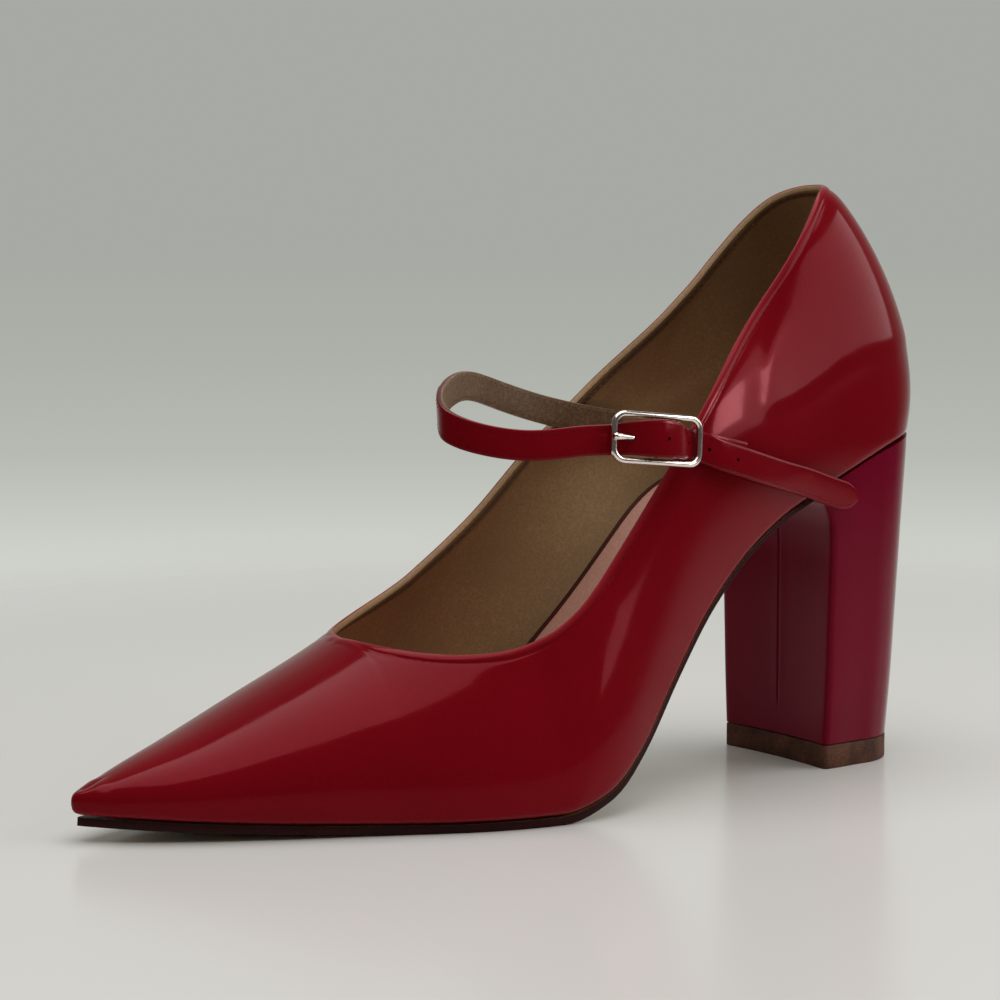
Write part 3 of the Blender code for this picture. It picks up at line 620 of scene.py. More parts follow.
GRIP_FOOT = spline([-30.0, -7.7, 5.9, 15.2, 24.6, 33.4, 42.0],
                   [111.3, 110.9, 109.2, 106.0, 100.8, 97.6, 96.4])
GRIP_FRONT = spline([90.0, 97.9, 104.9, 112.4, 119.1, 128.0], [42.2, 41.6, 40.1, 37.3, 34.0, 29.0])


def upper_turns():
    """Places of the columns, closer together at the grip's step and where the throat turns."""
    grip = (turn_at(33.0), turn_at(48.0))
    runs = ((0.0, grip[0], 29, False), (*grip, 10, False), (grip[1], THROAT_TURN - 0.17, 34),
            (THROAT_TURN - 0.16, THROAT_TURN, 14, False), (THROAT_TURN, THROAT_TURN + 0.07, 9),
            (THROAT_TURN + 0.08, math.pi, 34))
    return np.concatenate([np.linspace(*run) for run in runs])


def upper_column(turn, side):
    """One column of the upper's outer face: lasting margin, feather roll and wall, going up."""
    plan = outline_point(turn, side)
    spine_x = between(plan.x, HEEL_BACK_X + SPINE_FROM_BACK, TOE_X - SPINE_FROM_TOE)
    spine_turn = turn_at(spine_x)
    spine = Vector((spine_x, (OUTLINE_SIDE[1](spine_turn) + OUTLINE_SIDE[-1](spine_turn)) / 2, 0.0))
    inward = (spine - plan).normalized()
    reach = min(FEATHER_ROLL + MARGIN, 0.6 * (spine - plan).length)
    points = []
    for share in (1.0, 0.6):
        under = plan + inward * (reach * share)
        points.append(bottom_point(under.x, under.y))
    normal = bottom_normal(plan.x)
    centre = bottom_point(plan.x, plan.y, FEATHER_ROLL) + inward * FEATHER_ROLL
    for angle in np.radians((90.0, 67.5, 45.0, 22.5)):
        points.append(centre - (inward * math.cos(angle) + normal * math.sin(angle)) * FEATHER_ROLL)
    controls = last_curve(turn, side)
    share = cut_share(controls, side)
    trace = [on_curve(controls, share * i / 60) for i in range(61)]
    lengths = running_lengths(trace)
    full = lengths[-1]
    close = min(1.0, 0.35 * full / EDGE_ROWS[0])
    stops = list(np.linspace(0.0, full - EDGE_ROWS[0] * close, WALL_ROWS, endpoint=False))
    stops += [full - below * close for below in EDGE_ROWS]
    return points + [at_length(at, lengths, np.array(trace)) for at in stops]


def topline_path():
    """The edge of the foot opening, from the throat round the outer side, heel and inner side."""
    turns = [turn for turn in upper_turns() if turn <= THROAT_TURN + 1e-9]
    path = []
    for turn, side in [(turn, 1) for turn in turns[::-1]] + [(turn, -1) for turn in turns[1:]]:
        controls = last_curve(turn, side)
        path.append(on_curve(controls, cut_share(controls, side)))
    return path


def nearest_on_path(points, path):
    """Distance from each point to a path, and how far along the path the nearest place is."""
    points = np.asarray(points)
    best = np.full(len(points), 1e9)
    along = np.zeros(len(points))
    run = 0.0
    for start, end in zip(path, path[1:]):
        start, end = np.array(start), np.array(end)
        leg = end - start
        size = float(np.linalg.norm(leg))
        if size < 1e-6:
            continue
        share = np.clip(((points - start) @ leg) / size ** 2, 0.0, 1.0)
        away = np.linalg.norm(points - (start + share[:, None] * leg), axis=1)
        closer = away < best
        best = np.where(closer, away, best)
        along = np.where(closer, run + share * size, along)
        run += size
    return best, along


def outer_relief(place, distance):
    """How far the finished face stands off the lasted shape, so far below the topline.

    The edge is folded and stitched, the heel grip between leather and lining presses its outline
    into the quarters, and the back's edge curls in.
    """
    fold = FOLD_HEIGHT * max(0.0, 1.0 - ((distance - FOLD_CENTRE) / FOLD_REACH) ** 2)
    groove = STITCH_GROOVE * math.exp(-((distance - STITCH_BELOW_EDGE) / STITCH_GROOVE_REACH) ** 2)
    above = (place.z - GRIP_FOOT(place.x)) / GRIP_STEP_WIDTH + 0.5
    above = above if place.x < GRIP_END_X else 0.0
    behind = (GRIP_FRONT(place.z) - place.x) / GRIP_STEP_WIDTH + 0.5
    relief = fold - groove + GRIP_STEP * eased(above) * eased(behind)
    curl = max(0.0, 1.0 - distance / EDGE_CURL_HEIGHT) ** 2
    return relief - EDGE_CURL * curl * between((EDGE_CURL_END_X - place.x) / EDGE_CURL_FADE)


def evened(row):
    """The places of a stitch row with near doubles dropped and small jumps smoothed out."""
    kept = []
    for run, place, out in sorted(row, key=lambda item: item[0]):
        if not kept or run - kept[-1][0] > STITCH_LEAST_STEP:
            kept.append((run, place, out))
    path = []
    for i in range(len(kept)):
        _, places, outs = zip(*kept[max(i - 1, 0):i + 2])
        path.append((sum(places, Vector()) / len(places), sum(outs, Vector()).normalized()))
    return path


def build_upper(shape, looks):
    turns = upper_turns()
    sides = [(turn, -1) for turn in turns[::-1]] + [(turn, 1) for turn in turns[1:]]
    bm = bmesh.new()
    from_edge = bm.verts.layers.float.new("from_topline")
    grid_sheet(bm, [upper_column(turn, side) for turn, side in sides])
    weld(bm)
    bm.normal_update()
    heel_face = min(bm.faces, key=lambda face: face.calc_center_median().x)
    if heel_face.normal.x > 0.0:
        bmesh.ops.reverse_faces(bm, faces=bm.faces)
        bm.normal_update()
    verts = list(bm.verts)
    below, along = nearest_on_path([vert.co / MM for vert in verts], topline_path())
    normals = [vert.normal.copy() for vert in verts]
    rows = {"out": [], "in": []}
    for edge in bm.edges:
        (first, a), (second, b) = ((vert, vert.index) for vert in edge.verts)
        high = min(first.co.z, second.co.z) > STITCH_LEAST_Z * MM
        gaps = below[a] - STITCH_BELOW_EDGE, below[b] - STITCH_BELOW_EDGE
        near = abs(along[a] - along[b]) < STITCH_LONGEST_STEP
        if gaps[0] * gaps[1] < 0.0 and high and near:
            share = gaps[0] / (gaps[0] - gaps[1])
            place = first.co.lerp(second.co, share) / MM
            out = normals[a].lerp(normals[b], share).normalized()
            run = along[a] * (1 - share) + along[b] * share
            place += out * outer_relief(place, STITCH_BELOW_EDGE)
            rows["out"].append((run, place - out * STITCH_SUNK, out))
            rows["in"].append((run, place - out * (shape.wall / MM - LINING_STITCH_SUNK), -out))
    for vert, distance, normal in zip(verts, below, normals):
        vert[from_edge] = distance
        vert.co += normal * (outer_relief(vert.co / MM, distance) * MM)
    upper = finished_piece(bm, "upper_leather", [looks["patent"], looks["lining"]],
                           "upper")
    add_solidify(upper, shape.wall / MM, inner=1, rim=1)
    add_modifier(upper, "smooth", "SUBSURF", levels=1, render_levels=1)
    for name, row, thread in (("topline_stitching", rows["out"], looks["thread"]),
                              ("lining_stitching", rows["in"], looks["lining_thread"])):
        add_thread(name, [evened(row)], shape, thread, STITCH_RADIUS)


# ---- insole, sole and heel ----
ACROSS = (0.0, 0.012, 0.04, 0.1, 0.2, 0.33, 0.5, 0.67, 0.8, 0.9, 0.96, 0.988, 1.0)
ARCH_RISE = spline([22.0, 44.0, 62.0, 80.0, 100.0], [0.0, 3.8, 2.0, 0.7, 0.0], "monotone")
WAIST_SKIVING = spline([0.0, 30.0, 80.0, 112.0, 220.0], [0.55, 0.55, 0.55, 1.0, 1.0], "monotone")
SEAM_WIDTH = 0.7          # closing seam of the heel's cover, down the middle of its front face
SEAM_DEPTH = 0.3
SEAM_SWELL = 0.12         # the turned-in leather beside it
SEAM_FOOT_Z = 14.0


def bottom_sheet(bm, from_x, to_x, lines, inset, lift, arch=0.0, border=0):
    """A sheet that follows the shoe's bottom inside its outline, raised at the inner arch."""
    sheet = []
    for turn in np.linspace(turn_at(from_x), turn_at(to_x), lines):
        lateral, medial = (outline_point(turn, side) - outline_normal(turn, side) * inset
                           for side in (1, -1))
        sheet.append([])
        for share in ACROSS:
            plan = lateral.lerp(medial, share)
            raised = lift + arch * ARCH_RISE(plan.x) * share ** 2
            sheet[-1].append(bottom_point(plan.x, plan.y, raised))
    grid_sheet(bm, sheet, border)
    weld(bm, 0.02)
    bmesh.ops.dissolve_degenerate(bm, edges=bm.edges, dist=0.001 * MM)
    bm.normal_update()
    if sum(face.normal.z * face.calc_area() for face in bm.faces) < 0.0:
        bmesh.ops.reverse_faces(bm, faces=bm.faces)


def build_insole(shape, looks):
    """The board with its sock of smooth leather, a little raised under the inner arch."""
    bm = bmesh.new()
    # The sock's two outermost strips of faces take a dark finish: painted shadow of the gap between
    # the sock and the lining wall.
    bottom_sheet(bm, HEEL_BACK_X, INSOLE_FRONT_X, 90, shape.wall / MM + GAP + INSOLE_INSET,
                 shape.wall / MM + 2 * GAP + INSOLE_THICKNESS, arch=1.0, border=2)
    insole = finished_piece(bm, "insole_sock", [looks["sock"], looks["board"], looks["sock_edge"]],
                            "insole")
    add_solidify(insole, INSOLE_THICKNESS, inner=1, even=False)
    add_bevel(insole, 0.5)


def build_outsole(shape, looks):
    """The sole, skived thinner at the waist."""
    bm = bmesh.new()
    bottom_sheet(bm, SEAT_END_X + GAP, TOE_X - 0.25, 110, SOLE_INSET, -SOLE_GAP)
    outsole = finished_piece(bm, "sole_leather_piece", [looks["sole"], looks["edge"]],
                             "outsole")
    full = outsole.vertex_groups.new(name="full_thickness")
    for vert in outsole.data.vertices:
        full.add([vert.index], WAIST_SKIVING(vert.co.x / MM), "REPLACE")
    add_solidify(outsole, SOLE_THICKNESS, rim=1, even=False, vertex_group=full.name)
    add_bevel(outsole, 0.35)


def heel_ring(share, seam):
    """The heel's outline at one level, close enough together for a smooth covered face."""
    back, half, rear, front = (table_curve(HEEL, name, "monotone", "share")(share)
                               for name in HEEL[0]._fields[1:])
    corner = HEEL_CORNER
    centre_x = back + REAR_CENTRE_SHARE * (BREAST_X - back)
    side = [(front - corner + corner * math.sin(a), half - corner + corner * math.cos(a))
            for a in np.radians((80.0, 55.0, 30.0, 8.0))]
    for along in (0.06, 0.2, 0.4, 0.6, 0.8):
        side.append((front - corner + (centre_x - front + corner) * along,
                     half + (rear - half) * eased(along)))
    arc = [(centre_x - (centre_x - back) * math.sin(a), rear * math.cos(a))
           for a in np.linspace(0.0, math.pi, 41)]
    reach = half - corner
    outer = [-share * reach for share in (0.96, 0.8, 0.6, 0.4, 0.2, 0.08)]
    inner = [-SEAM_WIDTH, -SEAM_WIDTH / 2, -0.12]
    breast = []
    for y in outer + inner + [0.0] + [-y for y in (outer + inner)[::-1]]:
        hollow = BREAST_HOLLOW * (1 - (y / reach) ** 2)
        groove = SEAM_DEPTH * max(0.0, 1.0 - abs(y) / (SEAM_WIDTH / 2))
        swell = SEAM_SWELL * math.exp(-((abs(y) - SEAM_WIDTH) / 0.5) ** 2)
        breast.append((front - hollow + seam * (swell - groove), y))
    return side + arc + [(x, -y) for x, y in reversed(side)] + breast


def build_heel(shape, looks):
    """The block with its leather cover, closed by a seam down the front face."""
    bottom = TOP_PIECE_THICKNESS + GAP
    rings = []
    for share in np.concatenate([np.linspace(0.0, 0.78, 24), np.linspace(0.80, 1.0, 22)]):
        height = bottom + share * (HEEL_HEIGHT - SEAT_FALL - bottom)
        rings.append([])
        for x, y in heel_ring(share, between((height - SEAM_FOOT_Z) / 3.0)):
            top = BOTTOM_Z(x) - GAP / bottom_normal(x).z
            rings[-1].append(Vector((x, y, bottom + share * (top - bottom))))
    for narrow in (0.9, 0.5, 0.0):
        rings.append([Vector((place.x, place.y * narrow, place.z)) for place in rings[-1]])
    bm = bmesh.new()
    extruded_rings(bm, rings, open_end=True)
    heel = finished_piece(bm, "heel_cover_leather", [looks["heel"]], "heel",
                          sharp=50.0)
    add_bevel(heel, 0.45, angle=55.0)


def build_top_piece(shape, looks):
    rings = []
    for z, shrink in ((0.0, 0.35), (0.12, 0.12), (0.4, 0.0), (TOP_PIECE_THICKNESS - 0.3, 0.0),
                      (TOP_PIECE_THICKNESS, 0.2)):
        centre = Vector((0.0, 0.0, z))
        places = [Vector((x, y, z)) for x, y in heel_ring(0.0, 0.0)]
        rings.append([place + (centre - place).normalized() * shrink for place in places])
    bm = bmesh.new()
    extruded_rings(bm, rings)
    finished_piece(bm, "top_piece_rubber_block", [looks["rubber"]], "top_piece",
                   sharp=60.0)


# ---- making the straps and the buckle ----
FACE, LINING, EDGE = 0, 1, 2
BAND_BACK = ((1.0, -0.45), (0.965, -0.9), (0.9, -1.0), (0.45, -1.0))
BAND_FRONT = ((1.0, 0.35), (0.975, 0.8), (0.92, 1.0), (0.8, 1.06), (0.45, 1.14))
BAND_PROFILE = (          # across and out, as shares of half the width and half the thickness
    *((-a, b) for a, b in BAND_BACK), (0.0, -1.0), *BAND_BACK[::-1],
    *BAND_FRONT, (0.0, 1.17), *((-a, b) for a, b in BAND_FRONT[::-1]))
BAND_FACES = (LINING,) * 8 + (EDGE,) * 2 + (FACE,) * 8 + (EDGE,) * 2


def band_frame(here, along, up):
    """Across and outward directions of a band at one place."""
    up = (up - along * up.dot(along)).normalized()
    return up, along.cross(up).normalized()


def build_band(samples, up_at, width_at, thickness, outward=1.0):
    rings = []
    for here, along in samples:
        up, out = band_frame(here, along, up_at(here))
        half = width_at(here) / 2
        rings.append([here + up * (half * a) + out * (outward * b * thickness / 2)
                      for a, b in BAND_PROFILE])
    bm = bmesh.new()
    extruded_rings(bm, rings, BAND_FACES)
    return bm


def strap_width(here):
    """Full width, a little more over the buckle's bar, rounded to a blunt point at the free end."""
    from_end = (Vector(STRAP_TAIL[-1]) - here).length
    if from_end < TIP_LENGTH:
        share = 1.0 - from_end / TIP_LENGTH
        return max(STRAP_WIDTH * math.sqrt(max(1.0 - share * share, 0.0)), 1.2)
    from_bar = (BUCKLE_CENTRE - here).length
    return STRAP_WIDTH + BAR_SPREAD * math.exp(-(from_bar / BAR_SPREAD_REACH) ** 2)


def edge_stitch_path(samples, inset, height, outward):
    """A stitch line beside one edge of the instep strap, on its face or its lining."""
    path = []
    for here, along in samples:
        up, out = band_frame(here, along, strap_up(here))
        side = math.copysign(max(strap_width(here) / 2 - abs(inset), 0.0), inset)
        path.append((here + up * side + out * (outward * height), out * outward))
    return path


def build_instep_strap(shape, looks):
    """The long strap with its holes, and its stitching on face and lining."""
    route = [Vector(row) for row in STRAP_LOOP]
    route += [in_buckle(row.along, row.up, row.out) for row in STRAP_IN_BUCKLE]
    route += [Vector(row) for row in STRAP_TAIL]
    samples = sample_route(route, 0.9)
    strap = finished_piece(build_band(samples, strap_up, strap_width, STRAP_THICKNESS),
                           "instep_strap_leather",
                           [looks["strap"], looks["strap_lining"], looks["strap_edge"]],
                           "instep_strap")
    tail = [sample for sample in sample_route(route, 0.1)
            if sample[0].x < BUCKLE_CENTRE.x + 2.0 and sample[0].y > 0.0]
    offsets = [abs((here - BUCKLE_CENTRE).dot(BUCKLE_ALONG) - FIRST_HOLE_ALONG) for here, _ in tail]
    holes = bmesh.new()
    for number in range(FREE_HOLES):
        here, along = tail[offsets.index(min(offsets)) + int(number * HOLE_SPACING / 0.1)]
        out = strap_up(here).cross(along).normalized() * (2 * STRAP_THICKNESS)
        add_cylinder(holes, here - out, here + out, HOLE_RADIUS)
    apply_boolean(strap, holes, "DIFFERENCE", EDGE)
    sleeve = sample_route([in_buckle(row.along, PRONG_UP, row.out) for row in PRONG_ROUTE[5:]], 0.8)
    hole = tube_mesh([here for here, _ in sleeve], [PRONG_HOLE_RADIUS] * len(sleeve))
    apply_boolean(strap, hole, "DIFFERENCE", EDGE)
    end = samples[-1][0]
    sewn = [sample for sample in samples if (end - sample[0]).length > UNSEWN_TIP]
    for name, outward, proud, thread in (("strap_stitching", 1.0, 0.01, looks["thread"]),
                                         ("strap_lining_stitching", -1.0, -0.05,
                                          looks["lining_thread"])):
        paths = [edge_stitch_path(sewn, inset, STRAP_THICKNESS / 2 + proud, outward)
                 for inset in (-STRAP_STITCH_INSET, STRAP_STITCH_INSET)]
        add_thread(name, paths, shape, thread, STRAP_STITCH_RADIUS)


def build_buckle_strap(shape, looks):
    """The short strap, folded round the buckle's bar, with its slot for the prong."""
    along, up, out = buckle_axes()
    route = [Vector(row) for row in BILLET_ROOT]
    route += [in_buckle(row.along, 0.0, row.out) for row in BILLET_IN_BUCKLE]
    bm = build_band(sample_route(route, 0.5), lambda _: up, lambda _: BILLET_WIDTH,
                    BILLET_THICKNESS, -1.0)
    strap = finished_piece(bm, "buckle_strap_leather",
                           [looks["strap"], looks["strap_lining"], looks["strap_edge"]],
                           "buckle_strap")
    place = Matrix((along, up, out)).transposed().to_4x4()
    place.translation = in_buckle(0.0, 0.0, MIDDLE_BAR_OUT) * MM
    size = Matrix.Diagonal((PRONG_SLOT_LENGTH * MM, PRONG_SLOT * MM, PRONG_SLOT_LENGTH * MM, 1.0))
    slot = bmesh.new()
    bmesh.ops.create_cube(slot, size=1.0, matrix=place @ size)
    apply_boolean(strap, slot, "DIFFERENCE", EDGE)


def build_buckle(shape, looks):
    """The frame with its set-in middle bar, and the prong hooked round it."""
    wire = BUCKLE_BAR / 2
    half_length = BUCKLE_LENGTH / 2 - wire
    half_height = BUCKLE_HEIGHT / 2 - wire
    straights = (np.linspace(1.0, -1.0, 12)[1:-1], (0.34, -0.34))   # points between two corners
    path = []
    for quarter, (sign_along, sign_up) in enumerate(((1, 1), (-1, 1), (-1, -1), (1, -1))):
        along = sign_along * (half_length - BUCKLE_CORNER)
        up = sign_up * (half_height - BUCKLE_CORNER)
        for angle in np.radians(90 * quarter + np.linspace(0.0, 90.0, 13)):
            path.append((along + BUCKLE_CORNER * math.cos(angle),
                         up + BUCKLE_CORNER * math.sin(angle)))
        for share in straights[quarter % 2]:
            path.append((sign_along * half_length, up * share) if quarter % 2
                        else (along * share, sign_up * half_height))
    places = [in_buckle(along, FRAME_LIFT + up, 0.0) for along, up in path]
    buckle = finished_piece(tube_mesh(places, [wire] * len(places), closed=True),
                            "buckle_frame_metal", [looks["metal"]], "buckle_frame")
    bar = bmesh.new()
    foot, head = (in_buckle(0.0, FRAME_LIFT + up, MIDDLE_BAR_OUT)
                  for up in (-half_height, half_height))
    add_cylinder(bar, foot, head, MIDDLE_BAR_RADIUS, 20)
    apply_boolean(buckle, bar, "UNION")
    route = [in_buckle(row.along, PRONG_UP, row.out) for row in PRONG_ROUTE]
    samples = [here for here, _ in sample_route(route, 0.35)]
    last = len(samples) - 1
    radii = [(PRONG_RADIUS + PRONG_SWELL * (i / last) ** 2)
             * min(1.0, PRONG_TIP + PRONG_TIP_STEP * (last - i)) for i in range(last + 1)]
    finished_piece(tube_mesh(samples, radii), "buckle_prong_metal", [looks["metal"]],
                   "buckle_prong")


# ---- finishes ----
FACTOR, FIRST, SECOND = 0, 6, 7       # inputs of a Mix node that mixes colours
TOPLINE_DISTANCE = "from_topline"     # attribute of the upper, in mm


def shade(colour, share=1.0):
    """A hex or linear colour, darkened to a share of its light."""
    return tuple(share * value for value in (linear(colour) if isinstance(colour, str) else colour))


def feed(node, inputs):
    """Set inputs to a value or colour, or link them from a socket or a node's first live output."""
    for name, value in inputs.items():
        socket = node.inputs[name]
        if isinstance(value, bpy.types.Node):
            value = next(output for output in value.outputs if output.enabled)
        if isinstance(value, bpy.types.NodeSocket):
            node.id_data.links.new(value, socket)
        else:
            socket.default_value = (*shade(value), 1.0) if socket.type == "RGBA" else value


def add_node(tree, kind, inputs=None, **settings):
    """Add a shader node with its settings, and feed its inputs."""
    node = tree.nodes.new("ShaderNode" + kind)
    for name, value in settings.items():
        setattr(node, name, value)
    feed(node, inputs or {})
    return node


def per_mm(size):
    """Texture scale that makes one feature the given size in millimetres."""
    return 1.0 / (size * MM)


def start_finish(name, roughness, **more):
    """A new material, its maker of nodes, its shader and its piece's own coordinates."""
    material = bpy.data.materials.new(name)
    material.use_nodes = True
    tree = material.node_tree
    tree.nodes.clear()
    named = {key.replace("_", " "): value for key, value in more.items()}
    shader = add_node(tree, "BsdfPrincipled", {"Roughness": roughness, **named})
    add_node(tree, "OutputMaterial", {"Surface": shader})
    place = add_node(tree, "TexCoord").outputs["Object"]
    return material, partial(add_node, tree), shader, place


def colour_and_lift(node, shader, factor, first, second, pattern, strength, depth, **more):
    """Colour a surface between two tones, and lift a pattern off it by a depth in millimetres."""
    tone = node("Mix", {FACTOR: factor, FIRST: first, SECOND: second}, data_type="RGBA")
    lift = node("Bump", {"Height": pattern, "Strength": strength, "Distance": depth * MM})
    feed(shader, {"Base Color": tone, "Normal": lift, **more})


def patent_leather(name, colour, deep, tension, gloss=0.26, edge_wear_and_highlight=False):
    """Calf with a clear polyurethane film: wet-looking, even red, with the film's slow waviness."""
    material, node, shader, place = start_finish(
        name, 0.16, Specular_IOR_Level=gloss, Specular_Tint="#f0606c", Coat_Weight=0.05,
        Coat_Roughness=0.05, Coat_IOR=1.5)
    blotch = node("TexNoise", {"Vector": place, "Scale": per_mm(26.0), "Detail": 3.0})
    tone = node("Mix", {FACTOR: blotch, FIRST: colour, SECOND: deep}, data_type="RGBA")
    grain = node("TexVoronoi", {"Vector": place, "Scale": per_mm(0.7)})
    speck = node("MapRange", {"Value": grain, "From Max": 0.8, "To Min": 0.93, "To Max": 1.04})
    tone = node("Mix", {FACTOR: 1.0, FIRST: tone, SECOND: speck}, data_type="RGBA",
                blend_type="MULTIPLY")
    wave = node("TexNoise", {"Vector": place, "Scale": per_mm(tension), "Detail": 1.0,
                             "Roughness": 0.35})
    film = node("Bump", {"Height": wave, "Strength": 0.55, "Distance": 0.12 * MM})
    peel = node("TexNoise", {"Vector": place, "Scale": per_mm(1.1), "Detail": 1.0})
    skin = node("Bump", {"Height": peel, "Strength": 0.35, "Distance": 0.01 * MM, "Normal": film})
    scuff = node("TexNoise", {"Vector": place, "Scale": per_mm(14.0), "Detail": 6.0,
                              "Roughness": 0.65})
    handled = node("MapRange", {"Value": scuff, "From Min": 0.35, "From Max": 0.75, "To Min": 0.10,
                                "To Max": 0.20})
    # Lighter pink band within 2 mm of the topline: partly real rubbing of the film, partly a painted
    # highlight of the folded edge.
    if edge_wear_and_highlight:
        edge = node("Attribute", attribute_name=TOPLINE_DISTANCE).outputs["Fac"]
        rubbed = node("MapRange", {"Value": edge, "From Min": 1.9, "From Max": 0.2, "To Max": 0.30})
        tone = node("Mix", {FACTOR: rubbed, FIRST: tone, SECOND: "#b8474c"}, data_type="RGBA")
    feed(shader, {"Base Color": tone, "Roughness": handled, "Normal": skin, "Coat Normal": skin})
    return material


def drummed_leather(name, colour, pore, pore_size, roughness, depth, mottle=20.0, gloss=0.5,
                    seam=None):
    """Unfinished or lightly finished leather: fine pores, soft sheen and a cloudy dye.

    seam gives two distances from the topline, in mm, between which it is darker, along the stitch
    line.
    """
    material, node, shader, place = start_finish(name, roughness, Specular_IOR_Level=gloss)
    cloud = node("TexNoise", {"Vector": place, "Scale": per_mm(mottle), "Detail": 4.0,
                              "Roughness": 0.6})
    pores = node("TexVoronoi", {"Vector": place, "Scale": per_mm(pore_size)}, feature="SMOOTH_F1")
    both = node("Math", {0: cloud, 1: pores}, operation="MULTIPLY")
    tone = node("MapRange", {"Value": both, "From Min": 0.08, "From Max": 0.42})
    factor, first, second = tone, pore, colour
    # a darker band along the lining's stitch line
    if seam:
        first = node("Mix", {FACTOR: tone, FIRST: pore, SECOND: colour}, data_type="RGBA")
        below = node("Attribute", attribute_name=TOPLINE_DISTANCE).outputs["Fac"]
        away = node("Math", {0: below, 1: sum(seam) / 2}, operation="SUBTRACT")
        away = node("Math", {0: away}, operation="ABSOLUTE")
        factor = node("MapRange", {"Value": away, "From Min": (seam[1] - seam[0]) / 2 + 0.4,
                                   "From Max": 0.1, "To Max": 0.75})
        second = "#33190f"
    sheen = node("MapRange", {"Value": cloud, "To Min": roughness - 0.08,
                              "To Max": roughness + 0.1})
    colour_and_lift(node, shader, factor, first, second, pores, 0.6, depth, Roughness=sheen)
    return material


def sole_leather(name, colour, dark):
    """Vegetable-tanned sole bend, buffed along its length: tan, with long faint brush marks."""
    material, node, shader, place = start_finish(name, 0.42)
    stretch = node("Mapping", {"Vector": place, "Scale": (0.12, 1.0, 1.0)})
    brushed = node("TexNoise", {"Vector": stretch, "Scale": per_mm(1.3), "Detail": 5.0,
                                "Roughness": 0.6})
    cloud = node("TexNoise", {"Vector": place, "Scale": per_mm(30.0), "Detail": 4.0})
    both = node("Math", {0: brushed, 1: cloud}, operation="ADD")
    tone = node("MapRange", {"Value": both, "From Min": 0.7, "From Max": 1.3})
    colour_and_lift(node, shader, tone, dark, colour, brushed, 0.5, 0.03)
    return material


def moulded_rubber(name, colour, dark):
    """Hard moulded rubber: a dull brown with fine grit and rubbed lighter patches."""
    material, node, shader, place = start_finish(name, 0.6, Specular_IOR_Level=0.2)
    grit = node("TexNoise", {"Vector": place, "Scale": per_mm(0.4), "Detail": 3.0})
    patch = node("TexNoise", {"Vector": place, "Scale": per_mm(7.0), "Detail": 5.0})
    both = node("Math", {0: grit, 1: patch}, operation="MULTIPLY")
    tone = node("MapRange", {"Value": both, "From Min": 0.12, "From Max": 0.4})
    colour_and_lift(node, shader, tone, dark, colour, grit, 0.5, 0.03)
    return material


def plated_zinc(name, colour):
    """Die-cast zinc with polished pale nickel plating: bright, with faint polishing haze."""
    material, node, shader, place = start_finish(name, 0.14, Metallic=1.0)
    haze = node("TexNoise", {"Vector": place, "Scale": per_mm(1.6), "Detail": 5.0,
                             "Roughness": 0.7})
    rough = node("MapRange", {"Value": haze, "From Min": 0.3, "From Max": 0.7, "To Min": 0.08,
                              "To Max": 0.24})
    colour_and_lift(node, shader, haze, colour, shade(colour, 0.82), haze, 0.25, 0.02,
                    Roughness=rough)
    return material


def bonded_thread(name, colour):
    """Bonded polyester sewing thread: slightly shiny, with the twist of its plies."""
    material, node, shader, place = start_finish(name, 0.6, Specular_IOR_Level=0.1)
    turned = node("Mapping", {"Vector": place, "Rotation": (0.6, 0.8, 0.0)})
    plies = node("TexWave", {"Vector": turned, "Scale": per_mm(0.35) / 6.3,
                             "Distortion": 1.0}).outputs["Fac"]
    colour_and_lift(node, shader, plies, colour, shade(colour, 0.55), plies, 0.6, 0.04)
    return material


def satin_paint(name, colour, roughness):
    """The pale table: a smooth painted top with a soft reflection that fades out far away."""
    material, node, shader, place = start_finish(name, roughness, Base_Color=colour)
    flat = node("Mapping", {"Vector": place, "Scale": (1.0, 1.0, 0.0)})
    away = node("VectorMath", {0: flat}, operation="LENGTH").outputs["Value"]
    fade = node("MapRange", {"Value": away, "From Min": 0.26, "From Max": 0.62, "To Min": 1.0,
                             "To Max": 0.0}, interpolation_type="SMOOTHSTEP")
    feed(shader, {"Alpha": fade})
    return material


def finishes(context):
    """Every finish of the shoe under its short name, made on first use."""
    own = context.scene.court_shoe_colours
    recipes = {
        "patent": (patent_leather, "patent_calf", own.patent, own.patent_deep, 9.0, 0.26, True),
        "strap": (patent_leather, "patent_strap_calf", own.patent, own.patent_deep, 5.0),
        "heel": (patent_leather, "patent_heel_cover", own.heel, own.heel_deep, 16.0, 0.13),
        "lining": (drummed_leather, "pigskin_lining", own.lining, "#9c7c55", 0.6, 0.55, 0.02,
                   20.0, 0.5, (1.9, 2.9)),
        "strap_lining": (drummed_leather, "split_strap_lining", "#8f7458", "#6d5038", 0.7, 0.6,
                         0.03, 12.0),
        "sock": (drummed_leather, "smooth_kid_sock", own.sock, "#b07e6c", 0.6, 0.5, 0.02),
        "board": (drummed_leather, "cellulose_insole_board", "#8d7355", "#5f4a33", 0.6, 0.8, 0.06),
        # painted shadow along both edges of the sock, where it meets the lining wall
        "sock_edge": (drummed_leather, "burnished_sock_edge", "#4a1a0e", "#36110a", 0.5, 0.6, 0.02,
                      20.0, 0.2),
        "edge": (drummed_leather, "stained_sole_edge", "#3c0c0e", "#260607", 0.5, 0.5, 0.02,
                 20.0, 0.15),
        "strap_edge": (drummed_leather, "painted_strap_edge", "#7c1d20", "#4a0f12", 0.4, 0.35,
                       0.02),
        "sole": (sole_leather, "buffed_sole_bend", own.sole, "#8c744a"),
        "rubber": (moulded_rubber, "moulded_rubber", own.top_piece, "#2e1c14"),
        # the buckle colour's pink tint is a painted reflection of the red leather
        "metal": (plated_zinc, "nickel_plated_zinc", own.buckle),
        "thread": (bonded_thread, "bonded_polyester_thread", own.thread),
        "lining_thread": (bonded_thread, "bonded_lining_thread", "#8a6a48"),
    }
    return {short: bpy.data.materials.get(name) or make(name, *values)
            for short, (make, name, *values) in recipes.items()}


